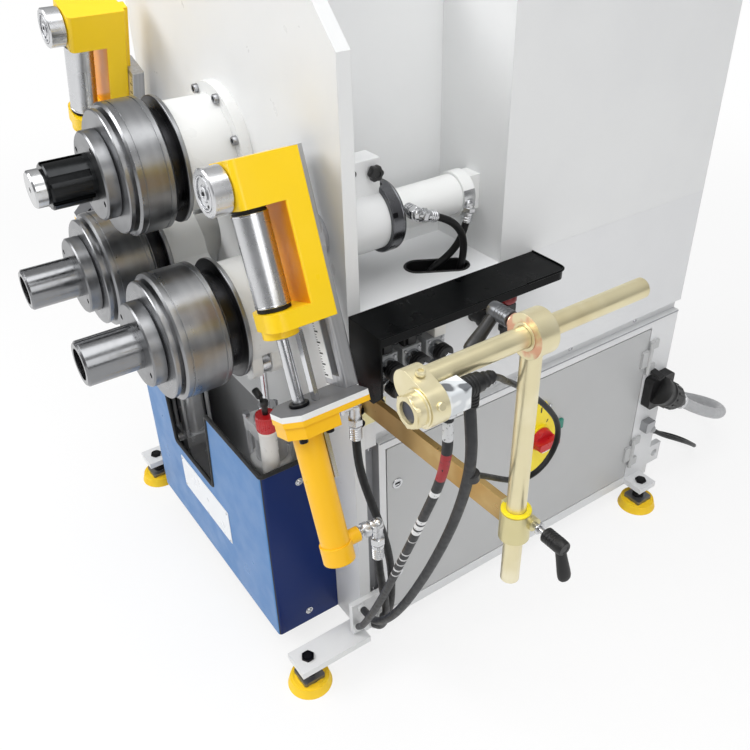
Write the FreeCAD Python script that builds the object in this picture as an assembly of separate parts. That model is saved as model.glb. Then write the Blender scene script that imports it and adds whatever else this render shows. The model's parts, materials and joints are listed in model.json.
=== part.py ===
import FreeCAD, Part
import math
import os

# Hydraulic three-roll ring and section roller, in millimetres.
# X is the width (+X is the operator's right side), -Y the front where the
# rolls stand out, +Z up.  Everything is drawn about the machine's centre
# plane (X = 0), the front plane of the lower rolls (Y = 0) and the floor
# (Z = 0), and moved at the end so that the origin is the middle of the
# footprint.

V = FreeCAD.Vector
ALONG_X, ALONG_Y, ALONG_Z = V(1, 0, 0), V(0, 1, 0), V(0, 0, 1)

# ---------------------------------------------------------------- driving sizes
# Frame and housings
FRAME_HALF_WIDTH = 430.0
FLOOR_GAP = 60.0
PLATE_FRONT = 270.0
PLATE_THICK = 26.0
PLATE_TOP = 1400.0
COLUMN_STEP = 31.0
RECESS_BACK = 618.0
RECESS_INNER = FRAME_HALF_WIDTH - 190.0
RECESS_FLOOR = 892.0
REAR_END = 1225.0
HOUSING_TOP = PLATE_TOP + 40.0
SHEET = 12.0
CABINET_TOP = 584.0
VENT_GAP = 28.0
VENT_DEPTH = 14.0
HOSE_SLOT_X = FRAME_HALF_WIDTH - 62.0
HOSE_SLOT_FRONT = 482.0
HOSE_SLOT_BACK = 545.0
HOSE_SLOT_RADIUS = 25.0
HOSE_SLOT_DEPTH = 60.0
CABINET_INNER = FRAME_HALF_WIDTH - 280.0
DECK_HEIGHT = 640.0
DOOR_LIP = 14.0
TANK_WIDTH = 106.0
TANK_LENGTH = 520.0
TANK_HEIGHT = 190.0
PUMP_RADIUS = 50.0
DOOR_FRONT = 347.0
DOOR_BACK = 1132.0
DOOR_BOTTOM = 92.0
DOOR_TOP = 560.0
DOOR_THICK = 20.0
DOOR_GAP = 3.0
HINGE_X = FRAME_HALF_WIDTH + 7.0
HINGE_Y = 1138.0
HINGE_RADIUS = 5.5
HINGE_LEVELS = (DOOR_BOTTOM + 60, DOOR_TOP - 106)
KNUCKLE_HEIGHT = 46.0
SWITCH_Y = 774.0
SWITCH_Z = 397.0
EYE_THICK = 16.0

# Rolls and shafts
UPPER_AXIS_Z = 1078.0
LOWER_AXIS_X = 172.0
LOWER_AXIS_Z = 814.0
ROLL_RADIUS = 122.5
ROLL_WIDTH = 110.0
UPPER_ROLL_SETBACK = 30.0
SLEEVE_RADIUS = 43.0
SLEEVE_REACH = 133.0
SOCKET_RADIUS = 30.0
SOCKET_DEPTH = 70.0
STUB_RADIUS = 34.0
STUB_LENGTH = 26.0
LOCK_RING_RADIUS = 81.0
LOCK_RING_WIDTH = 28.0
LOCK_HOLE_RADIUS = 5.5
SLINGER_RADIUS = 119.0
SLINGER_RIM = 10.0
SLINGER_NECK_RADIUS = 96.0
BEARING_HOUSING_RADIUS = 104.0
DRIVE_RADIUS = 52.0
DRIVE_LENGTH = 210.0
RUN_CLEAR = 0.06
BODY_GAP = 0.3

# Swing arms and their cylinders
PIVOT_X = 46.0
PIVOT_Z = 772.0
PIVOT_PIN_RADIUS = 22.0
SWING_DEGREES = 26.0
ARM_DEPTH = 80.0
LUG_REACH = 188.0
LUG_PIN_RADIUS = 14.0
LUG_PIN_PLAY = 3.0
SWING_ROD_RADIUS = 18.0
SWING_BARREL_RADIUS = 33.0
SWING_BARREL_TOP = 590.0
SWING_BARREL_BOTTOM = 250.0
SWING_CYLINDER_Y = 190.0

# Side guides
GUIDE_LEAN = 20.0
GUIDE_X = FRAME_HALF_WIDTH - 17.0
GUIDE_Y = 126.0
GUIDE_Z = 1044.0
GUIDE_ROLLER_RADIUS = 29.0
GUIDE_NOSE = 30.0
GUIDE_TOP = 151.0
GUIDE_BOTTOM = -118.0
GUIDE_ARM_TOP = 76.0
GUIDE_ARM_BOTTOM = -88.0
GUIDE_SPINE_FRONT = 170.0
GUIDE_SPINE_BACK = 213.0
GUIDE_HALF_WIDTH = 44.0
WHEEL_RADIUS = 38.0
WHEEL_WIDTH = 33.0
WHEEL_LEVEL = 112.0
LIFT_ROD_RADIUS = 10.0
LIFT_FLANGE_LEVEL = -254.0
LIFT_BARREL_RADIUS = 26.0
LIFT_BARREL_END = -546.0
LIFT_UP = 130.0
LIFT_DOWN = 100.0
UPPER_PORT_REACH = 56.0
LOWER_PORT_REACH = 62.0
UPPER_ELBOW = 74.0
LOWER_ELBOW = 81.0
RAM_X = FRAME_HALF_WIDTH - 90.0
RAM_Z = 1015.0
RAM_RADIUS = 42.0
RAM_TUBE_RADIUS = 56.0
RAM_TUBE_END = 415.0
RAM_CYLINDER_END = 590.0
FRONT_PORT_H = 15.0
REAR_PORT_H = -9.0
FRONT_FERRULE = V(0, 42, -15)
REAR_FERRULE = V(0, -7, -34)

# Front cover
COVER_HALF_WIDTH = FRAME_HALF_WIDTH - 102.0
COVER_FRONT = 113.0
COVER_TOP = 530.0
NOTCH_LEFT = -172.0
NOTCH_RIGHT = 66.0
NOTCH_BOTTOM = 315.0
COVER_SHEET = 3.0

# Valve hood and block
HOOD_REACH = 97.0
HOOD_FRONT = 271.0
HOOD_BACK = 703.0
HOOD_DROP = 145.0
HOOD_SHEET = 4.0
HOOD_CORNER = 24.0
VALVE_FRONT = 288.0
VALVE_PITCH = 53.0

# Support arm and sensor
ARM_BAR_Y = 292.0
ARM_BAR_Z = 712.0
ARM_COLLAR_Z = 721.0
ARM_BAR_HEIGHT = 44.0
ARM_BAR_THICK = 12.0
ARM_COLLAR_RADIUS = 24.0
ARM_COLLAR_HEIGHT = 52.0
ARM_ROD_X = FRAME_HALF_WIDTH + 418.0
ARM_ROD_RADIUS = 15.0
ARM_ROD_BOTTOM = 603.0
CROSS_ROD_Z = 1055.0
CROSS_ROD_RADIUS = 15.0
CROSS_ROD_FRONT = 88.0
CROSS_ROD_BACK = 497.0
CROSS_COLLAR_RADIUS = 32.0
CROSS_COLLAR_WIDTH = 32.0
SENSOR_X = FRAME_HALF_WIDTH + 447.0
SENSOR_Z = 1042.0
SENSOR_RADIUS = 15.0
HOLDER_FRONT = 86.0
HOLDER_DEPTH = 26.0
BOOT_Y = 163.0
BOOT_END = 200.0
LEVER_SPINDLE_RADIUS = 5.0
LEVER_OFFSET = 14.0

# Feet
FOOT_X = FRAME_HALF_WIDTH + 32.0
FOOT_PAD_RADIUS = 44.0
FOOT_PAD_HEIGHT = 22.0
FOOT_FRONT_X = FRAME_HALF_WIDTH
FOOT_FRONT_Y = 128.0
FOOT_REAR_Y = 1165.0
FOOT_SCREW_TOP = 88.0

# Lubricator, plug and glands
LUBRICATOR_X = 295.0
LUBRICATOR_Y = 156.0
LUBRICATOR_LOW = 455.0
LUBRICATOR_HIGH = 616.0
LUBRICATOR_CAP = 36.0
PLUG_Y = 1188.0
PLUG_Z = 366.0
GLAND_Y = 1178.0
GLAND_Z = 253.0
PLUG_LEAN = V(0, 0.8, -0.6)
GLAND_LEAN = V(0, 1, -1)
REAR_GLANDS = [(FRAME_HALF_WIDTH - 317, 116.0, 20.0), (FRAME_HALF_WIDTH - 188, 84.0, 9.0)]

# Hoses and cables: diameters, and the points that each route turns at.
# Each point's first number is measured outwards from the frame's right face.
def beside_frame(*points):
    return [(FRAME_HALF_WIDTH + x, y, z) for x, y, z in points]


HOSE_DIAMETER = 16.0
RECESS_HOSE_DIAMETER = 14.0
LOOP_DIAMETER = 9.0
CONDUIT_DIAMETER = 30.0
REAR_CABLE_DIAMETER = 12.0
GUIDE_HOSE_UPPER = beside_frame((81, 226, 700), (81, 227, 656), (83, 234, 604), (87, 247, 546), (91, 263, 484),
    (92, 278, 420), (89, 290, 354), (83, 297, 290), (74, 302, 232), (62, 306, 182), (44, 310, 140), (22, 313, 110))
GUIDE_HOSE_LOWER = beside_frame((159, 214, 478), (159, 216, 441), (155, 223, 398), (146, 234, 350), (132, 247, 298),
    (115, 259, 246), (94, 270, 196), (70, 279, 152), (45, 286, 118), (20, 291, 96))
RECESS_HOSE_FRONT = beside_frame((-24, 479, 1015), (-22, 497, 1007), (-20, 518, 993), (-20, 536, 971),
    (-23, 546, 943), (-29, 549, 912), (-36, 548, 884), (-43, 545, 857), (-45, 543.5, 832))
RECESS_HOSE_REAR = beside_frame((-48, 570, 972), (-49, 564, 949), (-53, 552, 925), (-61, 535, 904), (-70, 515, 888),
    (-77, 499, 868), (-80, 489, 849), (-81, 484, 832))
SENSOR_HOSE = beside_frame((447, 130, 1012), (448, 131, 976), (441, 133, 930), (425, 136, 880), (403, 139, 828),
    (373, 144, 760), (338, 150, 682), (299, 157, 598), (258, 165, 510), (215, 174, 424), (170, 186, 342),
    (130, 200, 276), (94, 216, 220), (64, 230, 176), (40, 241, 143), (20, 249, 117))
SENSOR_SLEEVE = beside_frame((447, 163, 1016), (450, 165, 980), (446, 172, 934), (432, 182, 878), (407, 193, 806),
    (373, 203, 718), (330, 209, 614), (284, 213, 512), (235, 217, 412), (183, 224, 324), (134, 234, 258),
    (94, 244, 213), (60, 254, 185), (26, 261, 169))
LOOP_CABLE = beside_frame((447, 200, 1040), (438, 222, 1024), (420, 246, 1000), (399, 276, 974), (389, 308, 947),
    (386, 341, 915), (385, 373, 880), (384, 397, 846), (383, 405, 813), (383, 398, 786), (384, 378, 766),
    (385, 351, 759), (387, 322, 767), (390, 291.5, 786), (398, 257, 814), (410, 225, 842), (423, 194, 869))
POWER_CONDUIT = beside_frame((28, 1276, 301), (29, 1320, 268), (29, 1368, 234), (29, 1418, 202), (27, 1471, 171),
    (6, 1530, 141), (-34, 1579, 112), (-87, 1611, 85), (-146, 1622, 62), (-205, 1611, 46), (-258, 1579, 38),
    (-298, 1530, 37), (-319, 1471, 45), (-321, 1412, 60), (-320, 1360, 80), (-318, 1319, 97), (-317, 1285, 109),
    (-317, 1255, 116))
REAR_CABLE = beside_frame((11, 1204, 227), (13, 1228, 206), (17, 1262, 182), (22, 1304, 156), (24, 1352, 124),
    (18, 1400, 88), (2, 1440, 54), (-26, 1470, 28), (-62, 1484, 14), (-100, 1480, 8), (-134, 1460, 8),
    (-160, 1426, 16), (-176, 1384, 32), (-184, 1338, 54), (-187, 1294, 74), (-188, 1255, 84))

solids = {}


# ---------------------------------------------------------------- small tools
def block(x0, x1, y0, y1, z0, z1):
    return Part.makeBox(x1 - x0, y1 - y0, z1 - z0, V(x0, y0, z0))


def bar(start, direction, radius, length):
    return Part.makeCylinder(radius, length, V(*start), direction)


def tube(start, direction, outer, inner, length):
    return bar(start, direction, outer, length).cut(bar(start, direction, inner, length))


def plate(points, direction, thickness):
    """A flat plate: a closed outline of points, pushed out along direction."""
    face = Part.Face(Part.makePolygon([V(*p) for p in points + points[:1]]))
    return face.extrude(direction * thickness)


def turned(profile, x, z):
    """A turned piece about the Y axis through (x, z); profile is (y, radius) points."""
    wire = Part.makePolygon([V(r, y, 0) for y, r in profile + profile[:1]])
    piece = Part.Face(wire).revolve(V(0, 0, 0), ALONG_Y, 360)
    return piece.translated(V(x, 0, z))


def round_edges(shape, radius, direction):
    """Round the straight edges of a block that run along direction."""
    edges = [e for e in shape.Edges
             if isinstance(e.Curve, Part.Line) and abs(e.Curve.Direction.dot(direction)) > 0.999]
    return shape.makeFillet(radius, edges)


def joined(pieces):
    whole = pieces[0]
    for piece in pieces[1:]:
        whole = whole.fuse(piece)
    return whole.removeSplitter()


def cut(shape, *cutters):
    for cutter in cutters:
        shape = shape.cut(cutter)
    return shape


def mirrored(shape):
    return shape.mirror(V(0, 0, 0), ALONG_X)


def add(name, *shapes):
    """Keep one named node; more than one shape makes a group of separate solids."""
    parts = []
    for shape in shapes:
        parts += shape.Solids
    solids[name] = parts[0] if len(parts) == 1 else Part.makeCompound(parts)


# ---------------------------------------------------------------- rolls and shafts
BEARING_FRONT = 152.0
JOURNAL_RADIUS = 40.0
UPPER_SLEEVE_FRONT = -80.0
DRIVE_END = PLATE_FRONT + PLATE_THICK + DRIVE_LENGTH


def sleeve_keyways(x, z, front, back, count):
    """Shallow key grooves along the sleeve that carries the rolls."""
    width, depth = 12.0, 5.0
    groove = block(-width / 2, width / 2, front - 1, back, SLEEVE_RADIUS - depth, SLEEVE_RADIUS + 10)
    groove = groove.translated(V(x, 0, z))
    cutters = []
    for k in range(count):
        turn = groove.copy()
        turn.rotate(V(x, 0, z), ALONG_Y, 360.0 / count * k)
        cutters.append(turn)
    return cutters


def lock_ring(x, z, back):
    """Ring nut that clamps the roll set, with blind spanner holes in its face."""
    front = back - LOCK_RING_WIDTH
    bore = SLEEVE_RADIUS + RUN_CLEAR
    chamfer = 3.0
    ring = turned([(front, bore), (front, LOCK_RING_RADIUS - chamfer), (front + chamfer, LOCK_RING_RADIUS),
                   (back - chamfer, LOCK_RING_RADIUS), (back, LOCK_RING_RADIUS - chamfer), (back, bore)], x, z)
    pitch = (LOCK_RING_RADIUS + SLEEVE_RADIUS) / 2 + 4
    for k in range(4):
        angle = math.radians(90 * k + 58)
        spot = (x + pitch * math.cos(angle), front - 1, z + pitch * math.sin(angle))
        ring = ring.cut(bar(spot, ALONG_Y, LOCK_HOLE_RADIUS, 16))
    return ring


def roll_set(x, z, front, back):
    """Clamp disc, grooved roll and slinger, three turned rings in a row on the sleeve."""
    bore = SLEEVE_RADIUS + RUN_CLEAR
    groove = 2.0
    clamp = turned([(front, bore), (front, ROLL_RADIUS - 11), (front + 2, ROLL_RADIUS - 9),
                    (front + 9, ROLL_RADIUS - 9), (front + 9, ROLL_RADIUS - 24), (front + 16, ROLL_RADIUS - 24),
                    (front + 16, bore)], x, z)
    start = front + 16
    roll = turned([(start, bore), (start, ROLL_RADIUS - 5), (start + 4, ROLL_RADIUS), (start + 13, ROLL_RADIUS),
                   (start + 13, ROLL_RADIUS - groove), (start + 16, ROLL_RADIUS - groove),
                   (start + 16, ROLL_RADIUS), (back - 16, ROLL_RADIUS), (back - 16, ROLL_RADIUS - groove),
                   (back - 13, ROLL_RADIUS - groove), (back - 13, ROLL_RADIUS), (back - 5, ROLL_RADIUS),
                   (back, ROLL_RADIUS - 5), (back, bore)], x, z)
    end = BEARING_FRONT - 2
    rim = end - SLINGER_RIM
    slinger = turned([(back, bore), (back, SLINGER_NECK_RADIUS), (rim, SLINGER_NECK_RADIUS),
                      (rim, SLINGER_RADIUS - 2), (rim + 2, SLINGER_RADIUS), (end - 2, SLINGER_RADIUS),
                      (end, SLINGER_RADIUS - 2), (end, bore)], x, z)
    return clamp, roll, slinger


def make_upper_shaft():
    z = UPPER_AXIS_Z
    stub_front = UPPER_SLEEVE_FRONT - STUB_LENGTH
    shaft = turned([(stub_front, 0), (stub_front, STUB_RADIUS - 3), (stub_front + 3, STUB_RADIUS),
                    (UPPER_SLEEVE_FRONT - 5, STUB_RADIUS), (UPPER_SLEEVE_FRONT - 5, STUB_RADIUS - 3),
                    (UPPER_SLEEVE_FRONT, STUB_RADIUS - 3), (UPPER_SLEEVE_FRONT, SLEEVE_RADIUS - 3),
                    (UPPER_SLEEVE_FRONT + 3, SLEEVE_RADIUS), (BEARING_FRONT - 1, SLEEVE_RADIUS),
                    (BEARING_FRONT - 1, JOURNAL_RADIUS), (DRIVE_END - DRIVE_LENGTH, JOURNAL_RADIUS),
                    (DRIVE_END - DRIVE_LENGTH, 0)], 0, z)
    shaft = cut(shaft, *sleeve_keyways(0, z, UPPER_SLEEVE_FRONT, -5, 6))
    shaft = shaft.cut(bar((0, stub_front - 1, z), ALONG_Y, 5, 16))
    add("upper_shaft", shaft)
    front = UPPER_ROLL_SETBACK
    add("upper_lock_ring", lock_ring(0, z, front))
    add("upper_roll_set", *roll_set(0, z, front, ROLL_WIDTH + 8))


def make_lower_shaft(side, sign):
    x, z = sign * LOWER_AXIS_X, LOWER_AXIS_Z
    shaft = turned([(-SLEEVE_REACH, SOCKET_RADIUS), (-SLEEVE_REACH, SLEEVE_RADIUS - 4),
                    (-SLEEVE_REACH + 4, SLEEVE_RADIUS), (BEARING_FRONT - 1, SLEEVE_RADIUS),
                    (BEARING_FRONT - 1, JOURNAL_RADIUS), (DRIVE_END - DRIVE_LENGTH, JOURNAL_RADIUS),
                    (DRIVE_END - DRIVE_LENGTH, 0), (-SLEEVE_REACH + SOCKET_DEPTH, 0),
                    (-SLEEVE_REACH + SOCKET_DEPTH, SOCKET_RADIUS)], x, z)
    shaft = cut(shaft, *sleeve_keyways(x, z, -SLEEVE_REACH, -LOCK_RING_WIDTH - 4, 1))
    add(side + "_lower_shaft", shaft)
    add(side + "_lock_ring", lock_ring(x, z, 0))
    add(side + "_roll_set", *roll_set(x, z, 0, ROLL_WIDTH))


# ---------------------------------------------------------------- swing arms
ARM_BACK = BEARING_FRONT + ARM_DEPTH
THROAT_RADIUS = 60.0
LUG_ANGLE = -SWING_DEGREES / 2
LUG_X = PIVOT_X + LUG_REACH * math.cos(math.radians(LUG_ANGLE))
LUG_Z = PIVOT_Z + LUG_REACH * math.sin(math.radians(LUG_ANGLE))
EYE_WIDTH = 17.0
SWING_ROD_X = PIVOT_X + LUG_REACH * (1 + math.cos(math.radians(LUG_ANGLE))) / 2


def hull_plate(circles, y0, depth):
    """A plate round two circles (x, z, radius), with straight sides touching both."""
    (x1, z1, r1), (x2, z2, r2) = circles
    reach = math.hypot(x2 - x1, z2 - z1)
    heading = math.atan2(z2 - z1, x2 - x1)
    spread = math.acos((r1 - r2) / reach)
    corners = []
    for x, z, r, turn in ((x1, z1, r1, spread), (x2, z2, r2, spread), (x2, z2, r2, -spread), (x1, z1, r1, -spread)):
        corners.append((x + r * math.cos(heading + turn), y0, z + r * math.sin(heading + turn)))
    return joined([plate(corners, ALONG_Y, depth), bar((x1, y0, z1), ALONG_Y, r1, depth),
                   bar((x2, y0, z2), ALONG_Y, r2, depth)])


def make_swing_arm(side, sign):
    """Right-hand arm, mirrored for the left: bearing barrel, pivot boss and fork for the rod eye."""
    x, z, pivot_boss = LOWER_AXIS_X, LOWER_AXIS_Z, 40.0
    barrel = bar((x, BEARING_FRONT, z), ALONG_Y, BEARING_HOUSING_RADIUS, ARM_DEPTH)
    web = hull_plate([(x, z, 70.0), (PIVOT_X, PIVOT_Z, pivot_boss)], BEARING_FRONT + 6, ARM_DEPTH - 6)
    lug = hull_plate([(x, z, 80.0), (LUG_X, LUG_Z, 30.0)], BEARING_FRONT + 6, ARM_DEPTH - 12)
    collar = bar((x, ARM_BACK - 1, z), ALONG_Y, THROAT_RADIUS, PLATE_FRONT + PLATE_THICK - ARM_BACK - 1)
    drive = bar((x, PLATE_FRONT + PLATE_THICK - 3, z), ALONG_Y, DRIVE_RADIUS, DRIVE_LENGTH)
    slot_half = EYE_WIDTH / 2 + 1.5
    y = SWING_CYLINDER_Y
    slot = block(LUG_X - 40, LUG_X + 60, y - slot_half, y + slot_half, LUG_Z - 60, LUG_Z + 30)
    arm = cut(joined([barrel, web, lug, collar, drive]), slot,
              bar((PIVOT_X, BEARING_FRONT, PIVOT_Z), ALONG_Y, PIVOT_PIN_RADIUS + RUN_CLEAR, ARM_DEPTH + 2),
              bar((x, BEARING_FRONT - 1, z), ALONG_Y, JOURNAL_RADIUS + RUN_CLEAR,
                  DRIVE_END - DRIVE_LENGTH - BEARING_FRONT + 2))
    pin = bar((LUG_X, y - 32, LUG_Z), ALONG_Y, LUG_PIN_RADIUS, 64)
    arm = joined([arm, pin])
    add(side + "_swing_arm", arm if sign > 0 else mirrored(arm))


def make_swing_cylinders():
    x, y = SWING_ROD_X, SWING_CYLINDER_Y
    eye_hole = LUG_PIN_RADIUS + LUG_PIN_PLAY
    eye_outer = eye_hole + 8
    half = EYE_WIDTH / 2
    stem_bottom = SWING_BARREL_BOTTOM + 45
    eye = tube((x, y - half, LUG_Z), ALONG_Y, eye_outer, eye_hole, EYE_WIDTH)
    neck = bar((x, y, SWING_BARREL_TOP + 30), ALONG_Z, half - 1.5, LUG_Z - eye_outer - SWING_BARREL_TOP - 26)
    stem = bar((x, y, stem_bottom), ALONG_Z, SWING_ROD_RADIUS, SWING_BARREL_TOP + 34 - stem_bottom)
    rod = joined([eye, neck, stem])
    add("right_swing_rod", rod)
    add("left_swing_rod", mirrored(rod))
    bottom, top, radius = SWING_BARREL_BOTTOM, SWING_BARREL_TOP, SWING_BARREL_RADIUS
    barrel = bar((x, y, bottom), ALONG_Z, radius, top - bottom)
    caps = [block(x - radius - 5, x + radius + 5, y - radius - 5, y + radius + 5, z, z + 30)
            for z in (bottom, top - 30)]
    ties = [bar((x + sx * radius, y + sy * radius, bottom), ALONG_Z, 5, top - bottom)
            for sx in (-1, 1) for sy in (-1, 1)]
    foot = block(x - 24, x + 24, y - 30, y + 30, FLOOR_GAP + 12, bottom)
    port = bar((x, y - radius - 20, bottom + 15), ALONG_Y, 11, 25)
    barrel = joined([barrel, foot, port] + caps + ties)
    barrel = barrel.cut(bar((x, y, stem_bottom - 20), ALONG_Z, SWING_ROD_RADIUS + RUN_CLEAR, top))
    add("swing_cylinders", barrel, mirrored(barrel))


# ---------------------------------------------------------------- side guides
LIFT_FLANGE_THICK = 21.0
RAM_EAR_U = (RAM_X - GUIDE_X) * math.cos(math.radians(GUIDE_LEAN)) \
    + (RAM_Z - GUIDE_Z) * math.sin(math.radians(GUIDE_LEAN))
RAM_EAR_W = -(RAM_X - GUIDE_X) * math.sin(math.radians(GUIDE_LEAN)) \
    + (RAM_Z - GUIDE_Z) * math.cos(math.radians(GUIDE_LEAN))
SLIDE_BACK = 240.0
RAM_EAR_RADIUS = RAM_RADIUS + 4.0
SCALE_BAR_Y = 157.0


def guide_place(shape, lift=0.0):
    """Lean a piece drawn upright, with x across, y to the rear and z along the slideway."""
    piece = shape.translated(V(0, 0, lift))
    piece.rotate(V(0, 0, 0), ALONG_Y, -GUIDE_LEAN)
    return piece.translated(V(GUIDE_X, 0, GUIDE_Z))


def octagon(half_u, y0, y1, level, thick, corner):
    """Flat plate with its two front corners cut off."""
    return plate([(-half_u, y0 + corner, level), (-half_u + corner, y0, level), (half_u - corner, y0, level),
                  (half_u, y0 + corner, level), (half_u, y1, level), (-half_u, y1, level)], ALONG_Z, thick)


def guide_slideway():
    """Ram, leaning slideway and the flange that carries the lift cylinder."""
    top = GUIDE_TOP
    bottom = LIFT_FLANGE_LEVEL - LIFT_FLANGE_THICK
    inner_u = -66.0
    face = GUIDE_SPINE_BACK + BODY_GAP
    rail = round_edges(block(inner_u, 6, face, SLIDE_BACK, bottom, top), 4, ALONG_Z)
    key_groove = block(-32 - BODY_GAP, -8 + BODY_GAP, face - 1, face + 10 + BODY_GAP, bottom + 40, top + 1)
    ear = hull_plate([(RAM_EAR_U, RAM_EAR_W, RAM_EAR_RADIUS), (-40.0, RAM_EAR_W, RAM_EAR_RADIUS + 1)], face + 14,
                     SLIDE_BACK - face - 14)
    flange = octagon(46.0, GUIDE_Y - 46, face + 20, bottom, LIFT_FLANGE_THICK, 25.0)
    ram = bar((RAM_EAR_U, SLIDE_BACK - 1, RAM_EAR_W), ALONG_Y, RAM_RADIUS, RAM_TUBE_END - SLIDE_BACK - 9)
    tail = bar((RAM_EAR_U, RAM_TUBE_END - 12, RAM_EAR_W), ALONG_Y, 16, 142)
    holes = [bar((0, GUIDE_Y, bottom - 1), ALONG_Z, LIFT_ROD_RADIUS + BODY_GAP, LIFT_FLANGE_THICK + 2),
             block(-8 - BODY_GAP, 8 + BODY_GAP, SCALE_BAR_Y - 4 - BODY_GAP, SCALE_BAR_Y + 4 + BODY_GAP,
                   bottom - 1, bottom + LIFT_FLANGE_THICK + 1)]
    return cut(joined([rail, ear, flange, ram, tail]), key_groove, *holes)


def lift_cylinder():
    top = LIFT_FLANGE_LEVEL - LIFT_FLANGE_THICK
    flange_low = top - 22
    flange = octagon(44.0, GUIDE_Y - 44, GUIDE_Y + 46, flange_low, 22, 24.0)
    barrel = bar((0, GUIDE_Y, LIFT_BARREL_END), ALONG_Z, LIFT_BARREL_RADIUS, flange_low - LIFT_BARREL_END + 2)
    cap = bar((0, GUIDE_Y, LIFT_BARREL_END), ALONG_Z, LIFT_BARREL_RADIUS + 3, 34)
    port = joined([bar((0, GUIDE_Y, LIFT_BARREL_END + 30), ALONG_Y, 14, LIFT_BARREL_RADIUS + 22),
                   bar((0, GUIDE_Y, LIFT_BARREL_END + 30), ALONG_Y, 9, LIFT_BARREL_RADIUS + LOWER_PORT_REACH)])
    bore = bar((0, GUIDE_Y, LIFT_BARREL_END + 8), ALONG_Z, LIFT_ROD_RADIUS + RUN_CLEAR, top - LIFT_BARREL_END)
    bar_slot = block(-8 - BODY_GAP, 8 + BODY_GAP, SCALE_BAR_Y - 4 - BODY_GAP, SCALE_BAR_Y + 4 + BODY_GAP,
                     flange_low - 1, top + 1)
    screws = [bar((u, GUIDE_Y + v, flange_low - 7), ALONG_Z, 6.5, 8)
              for u in (-32, 32) for v in (-22, 28)]
    upper_port = bar((0, GUIDE_Y + 44, flange_low + 10), ALONG_Y, 9, UPPER_PORT_REACH)
    body = joined([flange, barrel, cap, port, upper_port] + screws)
    return cut(body, bore, bar_slot)


def hose_elbow(hose_start, drop):
    """Swivel elbow and crimped ferrule that turn a hose straight down from a port."""
    x, y, z = hose_start
    return joined([Part.makeSphere(11.5, V(x, y, z + drop)), bar((x, y, z), ALONG_Z, 10, drop)])


def guide_bracket():
    """Yellow C-shaped bracket: spine with two arms that hold the guide roller between them."""
    half = GUIDE_HALF_WIDTH
    spine = round_edges(block(-half, half, GUIDE_SPINE_FRONT, GUIDE_SPINE_BACK, GUIDE_BOTTOM, GUIDE_TOP), 4, ALONG_Z)
    arms = []
    for low, high, corner in ((GUIDE_ARM_TOP, GUIDE_TOP, 10), (GUIDE_BOTTOM, GUIDE_ARM_BOTTOM, 28)):
        arm = block(-half, half, GUIDE_Y - GUIDE_NOSE, GUIDE_SPINE_FRONT + 5, low, high)
        nose = [e for e in arm.Edges if e.BoundBox.ZLength > high - low - 1 and e.BoundBox.YMax < GUIDE_Y]
        arms.append(arm.makeFillet(corner, nose))
    boss = bar((0, GUIDE_Y, GUIDE_BOTTOM - 13), ALONG_Z, GUIDE_NOSE, 14)
    key = block(-32, -8, GUIDE_SPINE_BACK - 1, GUIDE_SPINE_BACK + 10, GUIDE_BOTTOM, GUIDE_TOP)
    body = joined([spine, boss, key] + arms)
    pin_hole = bar((0, GUIDE_Y, GUIDE_ARM_BOTTOM - 16), ALONG_Z, 10 + RUN_CLEAR,
                   GUIDE_ARM_TOP - GUIDE_ARM_BOTTOM + 32)
    axle_hole = bar((0, GUIDE_Y - GUIDE_NOSE - 1, WHEEL_LEVEL), ALONG_Y, 12 + RUN_CLEAR, 38)
    rod_hole = bar((0, GUIDE_Y, GUIDE_BOTTOM - 14), ALONG_Z, LIFT_ROD_RADIUS, 16)
    return cut(body, pin_hole, axle_hole, rod_hole)


def lift_rod():
    """Piston rod of the lift cylinder and the flat travel bar beside it."""
    bottom = LIFT_BARREL_END + 8 + LIFT_DOWN + 4
    rod = bar((0, GUIDE_Y, bottom), ALONG_Z, LIFT_ROD_RADIUS, GUIDE_BOTTOM + 2 - bottom)
    flat = block(-8, 8, SCALE_BAR_Y - 4, SCALE_BAR_Y + 4, LIFT_FLANGE_LEVEL - LIFT_UP - 12, GUIDE_BOTTOM - 13)
    return rod, flat


def guide_roller():
    low, high = GUIDE_ARM_BOTTOM + 8, GUIDE_ARM_TOP - 8
    radius = GUIDE_ROLLER_RADIUS
    body = bar((0, GUIDE_Y, low), ALONG_Z, radius, high - low)
    neck_low = bar((0, GUIDE_Y, low - 7.5), ALONG_Z, radius - 4, 5)
    neck_high = bar((0, GUIDE_Y, high + 2.5), ALONG_Z, radius - 4, 5)
    axle = bar((0, GUIDE_Y, GUIDE_ARM_BOTTOM - 15), ALONG_Z, 10, GUIDE_ARM_TOP - GUIDE_ARM_BOTTOM + 30)
    return joined([body, neck_low, neck_high, axle])


def front_wheel():
    back = GUIDE_Y - GUIDE_NOSE - 1.0
    front = back - WHEEL_WIDTH
    face = WHEEL_RADIUS - 9
    return turned([(front, 0), (front, 6), (front + 3, 6), (front + 3, 14), (front + 1.5, 14), (front + 1.5, face),
                   (front, face), (front, WHEEL_RADIUS - 2), (front + 2, WHEEL_RADIUS),
                   (back - 2, WHEEL_RADIUS), (back, WHEEL_RADIUS - 2), (back, 12), (back + 34, 12),
                   (back + 34, 0)], 0, WHEEL_LEVEL)


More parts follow.
